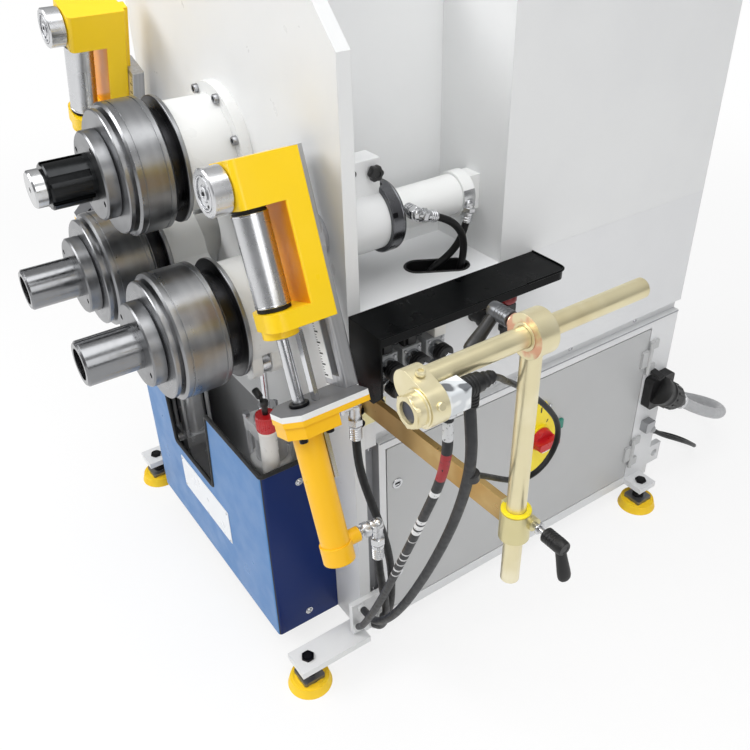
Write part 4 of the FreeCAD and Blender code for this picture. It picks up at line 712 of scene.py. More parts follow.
CORDS = [
    # node, points, diameter, length, finish, stiffness, lay
    ("guide_hose_upper", GUIDE_HOSE_UPPER, 16, 0.611, HOSE, "stiff", "hanging"),
    ("guide_hose_lower", GUIDE_HOSE_LOWER, 16, 0.425, HOSE, "stiff", "hanging"),
    ("recess_hose_front", RECESS_HOSE_FRONT, 14, 0.216, HOSE, "stiff", "hanging"),
    ("recess_hose_rear", RECESS_HOSE_REAR, 14, 0.172, HOSE, "stiff", "hanging"),
    ("sensor_hose", SENSOR_HOSE, 14, 1.011, HOSE_MARKED, "medium", "hanging"),
    ("sensor_cable_sleeve", SENSOR_SLEEVE, 16, 0.978, HOSE_GREY, "medium", "hanging"),
    ("loop_cable", LOOP_CABLE, 9, 0.603, CABLE, "medium", "loose"),
    ("power_conduit", POWER_CONDUIT, 30, 0.979, CONDUIT, "stiff", "loose"),
    ("rear_cable", REAR_CABLE, 12, 0.692, CABLE, "medium", "loose"),
]
for node, points, diameter, length, finish, stiffness, lay in CORDS:
    cord = line("line_" + node, points, diameter, finish, "frame")
    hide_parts(node)


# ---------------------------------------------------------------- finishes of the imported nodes

def turned_for(node, colour, roughness, dark_ring=None, **more):
    """Turned finish about a roll's own axis along Y, with one darker stretch for its slinger."""
    low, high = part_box(node)
    middle = (low + high) / 2 * 1000 - SHIFT
    if dark_ring:
        first, last, shade = dark_ring
        more["bands"] = [((first - middle.y) / 1000, (last - middle.y) / 1000, shade)]
    return turned(node + "_turned", colour, (middle.x, middle.y, middle.z), AY, roughness, **more)


SLINGER_NECK = 118.0
FINISH_OF = {"body_paint": BODY, "door_paint": DOOR, "cover_paint": COVER, "guide_paint": SIGNAL,
    "cylinder_paint": CYLINDER, "hood_black": HOOD, "cast_metal": CAST, "zinc_plate": ZINC,
    "black_plastic": BLACK, "red_plastic": RED, "yellow_plastic": YELLOW, "pad_rubber": PAD,
    "hose_rubber": RUBBER, "bright_steel": BRIGHT, "dark_steel": STEEL, "roll_steel": STEEL,}
slot_of = {part["node"]: part["material_slot"] for part in frame["record"]["subparts"]}


def dress(node, finish):
    for holder in nodes[node].material_slots:
        holder.material = finish


for node in nodes:
    dress(node, FINISH_OF[slot_of[node]])
NODE_FINISHES = (
    ("base_frame", FRAME), ("front_plate", PLATE), ("upper_bearing_housing", HOUSING),
    ("swing_cylinders", BARREL), ("ram_cylinders", RAM), ("lubricator", LUBE), ("levelling_feet", FEET),
    ("sensor", SENSOR),
    ("lower_clamp_lever", LOWER_LEVER), ("upper_clamp_lever", UPPER_LEVER), ("support_bar", BRASSY),
    ("cross_clamp", CLAMP), ("valve_block", VALVES), ("cable_inlets", INLETS),
)
SIDE_FINISHES = (
    ("swing_arm", HOUSING), ("lift_cylinder", LIFT), ("guide_roller", BRUSHED), ("front_wheel", BRUSHED),
    ("swing_rod", CHROME), ("lift_rod", CHROME),
)
for node, finish in NODE_FINISHES:
    dress(node, finish)
for side in ("right", "left"):
    dress(side + "_slideway", slideway(side))
    for node, finish in SIDE_FINISHES:
        dress(f"{side}_{node}", finish)
for name in ("upper_roll_set", "right_roll_set", "left_roll_set"):
    dress(name, turned_for(name, (146, 147, 149), 0.3, light=(170, 171, 173), dark=(122, 122, 124),
        dark_ring=(SLINGER_NECK, 141.5, (52, 52, 54))))
for name in ("upper_lock_ring", "right_lock_ring", "left_lock_ring"):
    dress(name, turned_for(name, (136, 137, 139), 0.3, light=(160, 161, 163), dark=(110, 110, 112)))
for name in ("upper_shaft", "right_lower_shaft", "left_lower_shaft"):
    upper = name == "upper_shaft"
    shade = (46, 47, 48) if upper else (136, 137, 139)
    bands = [(-0.5, -0.179, (206, 207, 208))] if upper else ()
    dress(name, turned_for(name, shade, 0.2, ring=0.4, bands=bands))


# ---------------------------------------------------------------- side guides

ROD_Y = 126.0


def ring(bm, origin, axis, inner, outer, height, ease=0.5, n=48):
    """A flat ring with eased outer edges."""
    profile = [(0, inner), (0, outer - ease), (ease, outer), (height - ease, outer),
        (height, outer - ease), (height, inner), (0, inner)]
    lathe(bm, origin, axis, profile, n, caps=(False, False))


def crimped(bm, origin, axis, radius, length):
    """Crimped hose ferrule: a sleeve with pressed grooves, then a hexagon at its far end."""
    sections = [(0, circle(radius - 1.2, 48)), (1.2, circle(radius, 48))]
    step = 5.0
    at = 3.0
    while at + step < length * 0.62:
        sections += [(at, circle(radius, 48)), (at + 0.8, circle(radius - 0.9, 48)),
            (at + step - 1.6, circle(radius - 0.9, 48)), (at + step - 0.8, circle(radius, 48))]
        at += step
    flats = polygon(radius * 2.1, 6, 48)
    sections += [(length * 0.64, circle(radius, 48)), (length * 0.66, circle(radius - 2, 48)),
        (length * 0.70, circle(radius - 2, 48)), (length * 0.71, flats), (length * 0.97, flats),
        (length, circle(radius - 1.5, 48))]
    loft(bm, origin, axis, sections)


def roller_seals(bm, lift):
    for level in (68.4, -87.2):
        lathe(bm, on_guide(0, ROD_Y, level + lift), GUIDE_W, [(0, 25.6), (0, 27.8), (1.8, 28.2),
            (2.2, 26.6), (4.2, 26.6), (4.6, 28.2), (6.4, 27.8), (6.4, 25.6)])


def roller_caps(bm, lift):
    for level in (64.2, -80.2):
        ring(bm, on_guide(0, ROD_Y, level + lift), GUIDE_W, 28.6, 29.7, 3.6, 0.4)


def wiper(bm, lift):
    """Wiper ring that the lift rod runs through, on the white flange."""
    ring(bm, on_guide(0, ROD_Y, -254), GUIDE_W, 10.6, 17.5, 6, 1.0)


def flange_screws(bm, lift):
    for u in (-32, 32):
        for y in (104, 154):
            socket_screw(bm, on_guide(u, y, -296.6), -GUIDE_W, 9.6, 8.4)


def axle_cap(bm, lift):
    """Screwed cap over the lower end of the roller's pin."""
    lathe(bm, on_guide(0, ROD_Y, -131 + lift), -GUIDE_W, [(0, 12.5), (0.8, 13.4), (4.5, 13.4),
        (5.5, 12.4)])


def wheel_face(bm, lift):
    """Retaining ring, washer and small grease port on the wheel's face."""
    centre = on_guide(0, 62.4, 112 + lift)
    ring(bm, centre, -AY, 24.6, 27.6, 1.1, 0.3)
    ring(bm, centre, -AY, 6.4, 11.5, 1.5, 0.3)


def wheel_port(bm, lift):
    # Painted shade: small black caps stand for the dark holes in the wheel's face
    lathe(bm, on_guide(0, 62.2, 112 + lift), -AY, [(0, 3.6), (1.1, 3.6), (1.1, 2.4), (0.5, 2.2)])
    lathe(bm, on_guide(2, 63.6, 92 + lift), -AY, [(0, 2.6), (0.5, 2.6), (0.5, 1.6), (0.1, 1.4)])


GUIDE_PARTS = (
    # name, finish, body, builder, slot, rides on the lifting carriage
    ("roller_seals", RUBBER, "roller", roller_seals, "pad_rubber", True),
    ("roller_caps", CHROME, "roller", roller_caps, "bright_steel", True),
    ("rod_wiper", BLACKENED_AND_HOLE_SHADE, "ram", wiper, "dark_steel", False),
    ("flange_screws", BLACKENED_AND_HOLE_SHADE, "ram", flange_screws, "dark_steel", False),
    ("axle_cap", STEEL, "carriage", axle_cap, "bright_steel", True),
    ("wheel_face_rings", CHROME, "wheel", wheel_face, "bright_steel", True),
    ("wheel_ports", BLACKENED_AND_HOLE_SHADE, "wheel", wheel_port, "dark_steel", True),
)
for name, finish, body, build, slot, raised in GUIDE_PARTS:
    for side, lift in (("right", 0.0), ("left", LEFT_LIFT)):
        piece(f"{side}_{name}", finish, f"{side}_{body}", lambda bm: build(bm, lift if raised else 0.0),
            mirror=side == "left")


# ---------------------------------------------------------------- hydraulic fittings

UPPER_PORT = on_guide(0, 0, -287)
LOWER_PORT = on_guide(0, 0, -516)


def lift_fittings(bm):
    """Hexagons and crimped ferrules on the right lift cylinder's two hose ends."""
    for (x, y, z), port, reach in (((511, 226, 700), UPPER_PORT, 46), ((589, 214, 478), LOWER_PORT, 52)):
        crimped(bm, (x, y, z - 2), AZ, 11.6, reach)
        lathe(bm, (x, y, z + reach - 3), AZ, [(0, 9.6), (2, 10.4), (20, 10.4), (23, 12.2), (30, 12.4)])
        start = 176 if port is UPPER_PORT else 182
        hex_nut(bm, (port.x, start, port.z), AY, 25, 13)
        hex_nut(bm, (port.x, start + 15, port.z), AY, 22, 8)


piece("lift_hose_fittings", BRIGHT, "right_ram", lift_fittings)
# Painted reflection: the port nut is tinted red-brown
piece("lift_port_bush", REFLECTION_TINTED_NUT, "right_ram", lambda bm: hex_nut(bm, (UPPER_PORT.x, 164.5, UPPER_PORT.z), AY,
    24, 11))


def left_plugs(bm):
    """Hexagon plugs in the left lift cylinder's ports."""
    for port, end in ((UPPER_PORT, 224), (LOWER_PORT, 212)):
        hex_nut(bm, (port.x, end, port.z), AY, 22, 12)
        hex_nut(bm, (port.x, end - 40, port.z), AY, 24, 12)


piece("left_lift_port_plugs", BRIGHT, "left_ram", left_plugs, mirror=True)

RAM_X, RAM_Z = 340.0, 1015.0


def clamp_ring(bm):
    """Dark ring nut round the end of the guide tube, with its chamfers and a spanner groove."""
    profile = [(0, 56.2), (0, 63.6), (1.8, 65.4), (20, 65.4), (21, 64.2), (23, 64.2), (24, 65.0),
        (27.5, 63.2), (28.5, 60), (28.5, 48)]
    lathe(bm, (RAM_X, 388.5, RAM_Z), AY, profile, 96, caps=(False, False))


pair("tube_clamp_ring", DARK_STEEL, "frame", clamp_ring)


def ring_slots(bm):
    for k in range(6):
        angle = math.radians(60 * k + 20)
        out = Vector((math.cos(angle), 0, math.sin(angle)))
        slab(bm, Vector((RAM_X, 394, RAM_Z)) + out * 64.6, out, 10, 9, 1.4, 1.5, up=AY, edge=0.3)


pair("clamp_ring_slots", BLACKENED_AND_HOLE_SHADE, "frame", ring_slots)


def lock_block(bm):
    """White block on the recess wall over the guide tube, which carries the locking knob."""
    slab(bm, (338, 355, 1064), AZ, 44, 74, 67, 3, up=AX, edge=1.5)


def lock_knob(bm):
    """Lobed black knob and a small plug beside it, on the block's right face."""
    lobes = 6
    outline = [(13.2 + 1.1 * math.cos(lobes * a), a) for a in (2 * math.pi * k / 72 for k in range(72))]

    def lobed(scale):
        return [(r * scale * math.cos(a), r * scale * math.sin(a)) for r, a in outline]

    loft(bm, (360, 375, 1108), AX, [(0, circle(7, 72)), (4, circle(7, 72)), (4, lobed(0.9)),
        (6, lobed(1.0)), (15, lobed(1.0)), (17.5, lobed(0.88)), (17.5, circle(6.5, 72)),
        (15.8, circle(6, 72))])
    lathe(bm, (360, 335, 1112), AX, [(0, 6.5), (3, 6.5), (4.5, 5.2), (5, 3)])


pair("lock_block", BODY, "frame", lock_block)
pair("lock_knob", BLACK, "frame", lock_knob)


def recess_fittings(bm):
    """Hexagons, swivel bodies and ferrules of the ram cylinder's two hoses."""
    lathe(bm, (378, 437, 1030), AX, [(0, 12.5), (3, 12.5), (3, 11), (5, 11), (5, 12.5), (9, 12.5),
        (9, 11), (11, 11), (11, 12.5), (15, 12.5)])
    hex_nut(bm, (394, 437, 1030), AX, 24, 12)
    lathe(bm, (403, 437, 1030), AX, [(0, 10), (4, 10.6), (8, 9), (10, 5)])
    crimped(bm, Vector((406, 477, 1015.7)), Vector((0, -42, 15)), 10.6, 34)
    hex_nut(bm, (366, 577, 1006), AX, 24, 11)
    lathe(bm, (377, 577, 1006), AX, [(0, 10), (4, 11), (9, 10), (12, 5)])
    crimped(bm, Vector((382, 570.4, 974)), Vector((0, 7, 34)), 10.6, 27)


piece("recess_hose_fittings", BRIGHT, "frame", recess_fittings)


def recess_plugs(bm):
    """Plugs in the left ram cylinder's ports."""
    hex_nut(bm, (RAM_X + 66, 437, 1030), AX, 22, 9)
    hex_nut(bm, (RAM_X + 42, 577, 1006), AX, 22, 9)


piece("left_recess_plugs", BRIGHT, "frame", recess_plugs, mirror=True)


def slot_grommet(bm):
    """Rubber lip round the mouth of the hose slot in the deck."""
    a, b = Vector((350, 482, DECK_Z)), Vector((386, 545, DECK_Z))
    along = (b - a).normalized()
    side = AZ.cross(along)
    path = []
    for centre, start in ((b, -90), (a, 90)):
        for k in range(13):
            turn = math.radians(start + 15 * k)
            path.append(centre + (along * math.cos(turn) + side * math.sin(turn)) * 25.5)
    rows = []
    n = len(path)
    for k, point in enumerate(path):
        out = (path[(k + 1) % n] - path[k - 1]).normalized().cross(AZ)
        rows.append([bm.verts.new(place(*(point + out * math.cos(t) * 2.6 + AZ
            * (0.4 + math.sin(t) * 2.0)))) for t in (2 * math.pi * j / 10 for j in range(10))])
    for k in range(n):
        low, high = rows[k], rows[(k + 1) % n]
        for j in range(10):
            bm.faces.new((low[j], low[(j + 1) % 10], high[(j + 1) % 10], high[j]))


piece("hose_slot_grommet", RUBBER, "frame", slot_grommet)


# ---------------------------------------------------------------- front: housings, cylinders, cover


def housing_screws(bm):
    for k in range(8):
        angle = math.radians(45 * k + 22.5)
        socket_screw(bm, (115 * math.cos(angle), 248, UPPER_ROLL_Z + 115 * math.sin(angle)), -AY, 11, 9)


piece("bearing_housing_screws", STEEL, "frame", housing_screws)


def pin_retainer(bm):
    """Plate and two screws that keep the swing arm's pivot pin."""
    slab(bm, (PIN_X, 152, PIN_Z), -AY, 38, 22, 5, 6, up=AX, edge=0.8)
    for dx in (-12, 12):
        socket_screw(bm, (PIN_X + dx, 147.4, PIN_Z), -AY, 6, 5)


pair("pivot_pin_retainer", STEEL, "frame", pin_retainer)


def grease_nipple(bm):
    """Nipple on top of the lower bearing housing."""
    top = Vector((172, 196, 814)) + Vector((0.34, 0, 0.94)).normalized() * 104
    axis = Vector((0.34, 0, 0.94))
    hex_nut(bm, top, axis, 9, 5)
    lathe(bm, top + axis.normalized() * 4, axis, [(0, 3), (4, 3), (5, 2), (6.5, 3.2), (9, 2.6),
        (10, 1.5)], 24)


pair("grease_nipple", BRIGHT, "arm", grease_nipple)

SWING_X, SWING_Y = 231.6, 190.0


def cylinder_dressing(bm):
    """Gland ring and tie-rod nuts of the swing cylinder."""
    ring(bm, (SWING_X, SWING_Y, 590), AZ, 18.8, 29, 7, 1.2)
    ring(bm, (SWING_X, SWING_Y, 597), AZ, 18.8, 24, 4, 0.8)
    for sx in (-33, 33):
        for sy in (-33, 33):
            hex_nut(bm, (SWING_X + sx, SWING_Y + sy, 590), AZ, 14, 8)


pair("swing_cylinder_gland", STEEL, "frame", cylinder_dressing)


def cylinder_guard(bm):
    """Pale splash collar round the swing cylinder's barrel."""
    profile = [(0, 34), (0, 45), (3, 47), (20, 47), (24, 44.5), (26, 40), (26, 33.4)]
    lathe(bm, (SWING_X, SWING_Y, 470), AZ, profile, 72, caps=(False, False))


pair("splash_collar", CAST, "frame", cylinder_guard)


def lubricator_fitting(bm):
    """Outlet elbow and quick coupling on the grease cartridge."""
    lathe(bm, (CARTRIDGE_X, CARTRIDGE_Y, 672), AZ, [(0, 7.4), (1, 8.2), (11, 8.2), (12, 7.2), (13, 4)])
    lathe(bm, (CARTRIDGE_X, CARTRIDGE_Y, 678), Vector((-0.86, -0.1, 0.5)),
        [(0, 4.2), (14, 4.2), (14, 6.6), (16, 7.4), (32, 7.4), (34, 6.4), (34, 3.6), (30, 3.2)])


def cap_ribs(bm):
    """Fluted grip round the cartridge's cap."""
    n = 120
    fluted = [((20.7 + 0.5 * math.cos(30 * a)) * math.cos(a),
        (20.7 + 0.5 * math.cos(30 * a)) * math.sin(a)) for a in (2 * math.pi * k / n for k in range(n))]
    small = [(a * 0.95, b * 0.95) for a, b in fluted]
    loft(bm, (CARTRIDGE_X, CARTRIDGE_Y, 617), AZ, [(0, small), (2, fluted), (28, fluted), (31, small)])


def cartridge_bands(bm):
    for z, height in ((456, 7), (609, 7)):
        ring(bm, (CARTRIDGE_X, CARTRIDGE_Y, z), AZ, 17.9, 19.0, height, 0.6)


piece("lubricator_coupling", BLACK, "frame", lubricator_fitting)
piece("lubricator_cap_grip", RED, "frame", cap_ribs)
piece("lubricator_bands", PALE, "frame", cartridge_bands)

COVER_X, COVER_Y, COVER_Z = 326.5, 114.5, 531.0
TRIM = [(-COVER_X, 269, COVER_Z), (-COVER_X, 200, COVER_Z), (-COVER_X, 128, COVER_Z),
    (-COVER_X, COVER_Y, COVER_Z), (-COVER_X + 14, COVER_Y, COVER_Z), (-196, COVER_Y, COVER_Z),
    (-180, COVER_Y, COVER_Z), (-178.5, COVER_Y, 516), (-162, COVER_Y, 336), (-160, COVER_Y, 314),
    (-140, COVER_Y, 314), (34, COVER_Y, 314), (54, COVER_Y, 314), (56, COVER_Y, 336),
    (72.5, COVER_Y, 516), (74, COVER_Y, COVER_Z), (90, COVER_Y, COVER_Z),
    (COVER_X - 14, COVER_Y, COVER_Z), (COVER_X, COVER_Y, COVER_Z), (COVER_X, 128, COVER_Z),
    (COVER_X, 200, COVER_Z), (COVER_X, 269, COVER_Z)]
line("cover_edge_trim", TRIM, 10, RUBBER, "frame")


def badge(bm):
    """Bare plate on the front of the cover; it carries no words or marks."""
    slab(bm, (-11, 113.2, 231.5), -AY, 264, 99, 1.6, 3, up=AX, edge=0.4)


def badge_rivets(bm):
    for x in (-136, 114):
        for z in (189, 274):
            lathe(bm, (x, 111.6, z), -AY, [(0, 3.2), (0.8, 3.0), (1.6, 1.8), (1.9, 0.6)], 24)


piece("bare_badge_plate", WHITE_PLATE, "frame", badge)
piece("badge_rivets", BRIGHT, "frame", badge_rivets)


def cover_screws(bm):
    for y, z in ((198, 481), (193, 93)):
        lathe(bm, (328, y, z), AX, [(0, 9), (1.2, 9), (1.2, 7.5)], 36)
        button_screw(bm, (329, y, z), AX, 7.5)


pair("cover_screws", BRIGHT, "frame", cover_screws)


# ---------------------------------------------------------------- right side: arm, valves, door, inlets

WALL_SCREWS = [(y, z) for y in (280.5, 326) for z in (693, 664)]


def wall_washers(bm):
    for y, z in WALL_SCREWS:
        ring(bm, (438, y, z), AX, 6, 11.5, 2, 0.4)


def wall_screws(bm):
    for y, z in WALL_SCREWS:
        socket_screw(bm, (438.6, y, z), AX, 10.5, 8)


piece("support_bar_washers", ZINC, "frame", wall_washers)
piece("support_bar_screws", BLACKENED_AND_HOLE_SHADE, "frame", wall_screws)


def post_screws(bm):
    for y, z in ((320, 560), (317, 356), (320, 152)):
        button_screw(bm, (406, y, z), AX, 6)


def vent_screws(bm):
    for y in (420, 640, 866, 1080):
        button_screw(bm, (416, y, 598), AX, 7)


piece("post_screws", BRIGHT, "frame", post_screws)
piece("vent_strip_screws", BRIGHT, "frame", vent_screws)
line("vent_lower_edge", [(429.5, 330, 581), (429.5, 700, 581), (429.5, 1224, 581)], 4, GREY, "frame",
    order=2)

VALVE_Y = [317, 370, 423]


def coil_ribs(bm):
    """Finned black coils with their knurled nuts, and corrugated sleeves on the lower ports."""
    for y in VALVE_Y:
        sections = [(0, 16)]
        for k in range(3):
            sections += [(0.6 + 6 * k, 18.2), (3.6 + 6 * k, 18.2), (4.4 + 6 * k, 16.2),
                (6.2 + 6 * k, 16.2)]
        lathe(bm, (497, y, COIL_Z), AX, [*sections, (18.6, 15), (19.4, 10)], 48)
        sleeve = [(0, 12.4)]
        for k in range(4):
            sleeve += [(1 + 5 * k, 13.4), (3.2 + 5 * k, 13.4), (3.8 + 5 * k, 11.4), (5.4 + 5 * k, 11.4)]
        lathe(bm, (489, y, PORT_Z), AX, [*sleeve, (22, 12.4), (25, 9)], 40)


def coil_nuts(bm):
    for y in VALVE_Y:
        hex_nut(bm, (515, y, COIL_Z), AX, 15, 7)
        hex_nut(bm, (483.5, y, PORT_Z), AX, 28, 6)
        for dy in (-16, 16):
            for dz in (-17, 17):
                socket_screw(bm, (482, y + dy * 0.95, COIL_Z + dz), AX, 4, 3)


def connectors(bm):
    """Plug housings on the valves, with their cable glands."""
    for y in VALVE_Y[:2]:
        slab(bm, (463, y, 822), AZ, 28, 30, 26, 3, up=AX, edge=1.2)
        lathe(bm, (463, y, 838), Vector((0.3, 0.95, 0.05)), [(10, 7.6), (19, 7.6), (20, 8.6), (27, 8.6),
            (30, 6)], 32)
        slab(bm, (477, y, 834), AX, 18, 18, 6, 3, up=AY, edge=1.0)


def terminal_box(bm):
    slab(bm, (468, 432, 822), AZ, 34, 26, 24, 2, up=AX, edge=1.0)


piece("valve_coils", BLACK, "frame", coil_ribs)
piece("valve_nuts", BRIGHT, "frame", coil_nuts)
piece("valve_connectors", BLACK, "frame", connectors)
piece("terminal_box", PALE, "frame", terminal_box)
for k, y in enumerate(VALVE_Y[:2]):
    line(f"valve_lead_{k + 1}", [(471, y + 26, 840), (476, y + 44, 842), (470, y + 58, 846),
        (452, y + 70, 852), (436, y + 76, 856), (429, y + 78, 858)], 6, CABLE, "frame")


def pressure_switch(bm):
    """Pressure switch on the frame under the hood's open end."""
    slab(bm, (SIDE_X, 610, 800), AX, 66, 46, 16, 4, up=AY, edge=1.5)
    slab(bm, (446, 614, 800), AX, 42, 34, 22, 5, up=AY, edge=2)
    lathe(bm, (SIDE_X, 560, 800), AX, [(0, 16), (3, 16), (4, 14), (22, 14), (24, 17), (38, 17), (40, 14)],
        40)
    lathe(bm, (457, 614, 776), -AZ, [(0, 9), (8, 9), (9, 10.5), (18, 10.5), (20, 7), (30, 6)], 32)


def release_knob(bm):
    lathe(bm, (460, 618, 817), AZ, [(0, 9), (4, 9), (5, 15), (8, 17), (15, 17), (19, 14.5), (20, 8)], 48)


def switch_bolts(bm):
    for y in (583, 637):
        for z in (784, 816):
            socket_screw(bm, (446, y, z), AX, 5.5, 4)
    hex_nut(bm, (470, 560, 800), AX, 22, 8)


piece("pressure_switch", BLACK, "frame", pressure_switch)
piece("release_knob", DEEP_RED, "frame", release_knob)
piece("pressure_switch_bolts", BRIGHT, "frame", switch_bolts)

HOOD_EDGE = [(431, 702, HOOD_CREST_Z), (470, 702, HOOD_CREST_Z), (505, 702, HOOD_CREST_Z),
    (519, 700, HOOD_CREST_Z), (526, 690, HOOD_CREST_Z), (526.3, 676, HOOD_CREST_Z),
    (526.3, 600, HOOD_CREST_Z)]
line("hood_end_rim", HOOD_EDGE, 4.4, HOOD, "frame")
line("hood_outer_bead", [(526.2, 601, 891.6), (526.2, 450, 891.6), (526.2, 272.5, 891.6)], 2.6, HOOD,
    "frame", order=2)


def hood_screws(bm):
    for y in (310, 480, 650):
        button_screw(bm, (434, y, 868), AX, 7)


piece("hood_screws", BLACKENED_AND_HOLE_SHADE, "frame", hood_screws)

SWITCH_Y, SWITCH_Z = 774.0, 397.0


def switch_marks(bm):
    """Plain position marks round the switch: a bar for on, a ring for off, and four ticks."""
    slab(bm, (SWITCH_FACE_X, SWITCH_Y, SWITCH_Z + 78), AX, 4, 15, 0.5, 0.8, up=AY, edge=0.15)
    ring(bm, (SWITCH_FACE_X, SWITCH_Y - 46, SWITCH_Z + 4), AX, 4.5, 6.5, 0.5, 0.1)
    for angle in (60, 120, 205, 335):
        out = Vector((0, math.cos(math.radians(angle)), math.sin(math.radians(angle))))
        slab(bm, Vector((SWITCH_FACE_X, SWITCH_Y, SWITCH_Z)) + out * 45, AX, 9, 3, 0.5, 0.6, up=out,
            edge=0.15)


def switch_screws(bm):
    for y, z in ((-28, 78), (28, 78), (-30, -84), (30, -84)):
        button_screw(bm, (SWITCH_FACE_X, SWITCH_Y + y, SWITCH_Z + z), AX, 6)


def switch_tab(bm):
    """Green padlock tab at the rear edge of the switch plate."""
    slab(bm, (SIDE_X + 0.2, SWITCH_Y + 70, SWITCH_Z + 8), AX, 16, 28, 7, 4, up=AY, edge=1.0)


def switch_patch(bm):
    slab(bm, (SWITCH_FACE_X, SWITCH_Y + 30, SWITCH_Z - 50), AX, 24, 17, 0.6, 1.0, up=AY, edge=0.2)


def grip_dressing(bm):
    """Raised ring and pointer on the red rotary handle."""
    ring(bm, (455.3, SWITCH_Y, SWITCH_Z), AX, 20.5, 25.5, 1.4, 0.5)
    for y in (-38, 38):
        slab(bm, (441.6, SWITCH_Y + y * 0.62, SWITCH_Z), AX, 10, 12, 12, 2, up=AY, edge=0.8)


piece("switch_marks", BLACK, "door", switch_marks)
piece("switch_plate_screws", BRIGHT, "door", switch_screws)
piece("switch_lock_tab", GREEN, "door", switch_tab)
piece("switch_pale_patch", PALE, "door", switch_patch)
piece("switch_handle_dressing", RED, "switch", grip_dressing)


def door_latches(bm):
    """Two quarter-turn latches near the door's front edge."""
    for z in (196, 460):
        lathe(bm, (SIDE_X, 372, z), AX, [(0, 13), (1.5, 13), (2.5, 12), (2.5, 7.5), (0.8, 7)], 40)


piece("door_latches", BRIGHT, "door", door_latches)


def latch_cores(bm):
    for z in (196, 460):
        slab(bm, (SIDE_X + 0.5, 372, z), AX, 12.5, 3.4, 1.4, 0.8, up=AY, edge=0.3)


piece("door_latch_cores", BLACKENED_AND_HOLE_SHADE, "door", latch_cores)

# Arm, sensor and levers
ARM_X, ARM_Y = 848.0, 292.0


def sensor_nut(bm):
    """Hexagon nut at the sensor's face, and a slotted ring in the holder."""
    hex_nut(bm, (SENSOR_X, 75, SENSOR_Z), -AY, 40, 7, 14.6)
    ring(bm, (SENSOR_X, 86.2, SENSOR_Z), -AY, 20, 24.5, 3, 0.8)


piece("sensor_face_nut", ZINC, "boom", sensor_nut)


def plug_fittings(bm):
    """Metal collar between the sensor and its plug, and the ring under the outlet."""
    ring(bm, (SENSOR_X, 111.8, SENSOR_Z), AY, 14, 17.6, 5, 0.8)
    lathe(bm, (SENSOR_X, 130, 1024), -AZ, [(0, 11.5), (2, 12), (6, 12), (7, 10.5), (11, 10.5)], 40)
    for dx in (-8, 16):
        for dz in (-13, 11):
            lathe(bm, (SENSOR_X + dx, 148, SENSOR_Z + dz), AY, [(0, 2.6), (1.6, 2.6), (2.2, 1.8)], 20)


piece("sensor_plug_collars", BRIGHT, "boom", plug_fittings)


def boot_ribs(bm):
    """Bend-relief ribs on the T-shaped boot."""
    for k in range(4):
        lathe(bm, (SENSOR_X, 163, 1030 - 4.5 * k), -AZ, [(0, 11.2), (0.8, 12), (2.4, 12), (3.2, 11.2)],
            36)
        lathe(bm, (SENSOR_X, 151 + 5 * k, SENSOR_Z), AY, [(0, 13.2), (0.8, 14), (2.6, 14), (3.4, 13.2)],
            40)
    lathe(bm, (SENSOR_X, 176, 1041.4), AY, [(0, 11.4), (2, 12.2), (6, 10.6), (8, 10), (10, 10.8),
        (13, 9.4), (16, 8.6), (18, 9.2), (22, 7.6)], 36)


piece("sensor_boot_ribs", RUBBER, "boom", boot_ribs)


def holder_screw(bm):
    socket_screw(bm, (862, 99, 1075.5), Vector((0.1, 0, 1)), 8, 6)
    lathe(bm, (900, 99, 1052), Vector((0.93, 0, 0.36)), [(0, 6), (4, 6), (5, 5)], 32)


piece("sensor_holder_screw", ZINC, "boom", holder_screw)


def rod_end(bm):
    """Eased end of the cross rod."""
    lathe(bm, (ARM_X, 497, CROSS_ROD_Z), AY, [(0, 14.2), (0.8, 13.4), (1.0, 6)], 48)


piece("cross_rod_end", ZINC, "boom", rod_end)


def collar_bush(bm):
    ring(bm, (ARM_X, ARM_Y, 747), AZ, 15.4, 23.2, 3.4, 0.8)
    ring(bm, (ARM_X, ARM_Y, 694.8), -AZ, 15.4, 22, 2.2, 0.6)


piece("mast_collar_bush", YELLOW, "frame", collar_bush)


def clamp_rings(bm):
    """Turned lips on both faces of the upper clamp."""
    for y, way in ((276, -AY), (308, AY)):
        ring(bm, (ARM_X, y, CROSS_ROD_Z), way, 15.6, 20, 1.4, 0.4)


piece("cross_clamp_lips", ZINC, "mast", clamp_rings)


def handle(bm, root, way, flat, reach):
    """Flattened, widening grip of a clamp lever, from its hub to its rounded end."""
    stations = ((-9, 8.6, 8.6), (0, 8.8, 8.4), (8, 8.2, 7.8), (reach * 0.5, 9.6, 7.9),
        (reach * 0.85, 11.4, 8.2), (reach, 11.6, 8.3), (reach + 5, 10.4, 7.4), (reach + 8, 7.6, 5.4),
        (reach + 9.4, 3.6, 2.6))
    sections = [(t, [(a * math.cos(k), b * math.sin(k)) for k in (2 * math.pi * j / 40
        for j in range(40))]) for t, a, b in stations]
    loft(bm, root, way, sections, up=flat)


def hub_ring(bm, origin, way):
    """Grooved hub cover and its end button."""
    profile = [(-0.4, 11.2), (1, 12.4)]
    for k in range(4):
        profile += [(5 + 5 * k, 12.4), (5.6 + 5 * k, 11.6), (7 + 5 * k, 11.6), (7.6 + 5 * k, 12.4)]
    lathe(bm, origin, way, [*profile, (27, 12.4), (36, 11.8), (38.6, 10.4), (38.6, 6.5), (37.4, 6.2)], 48)


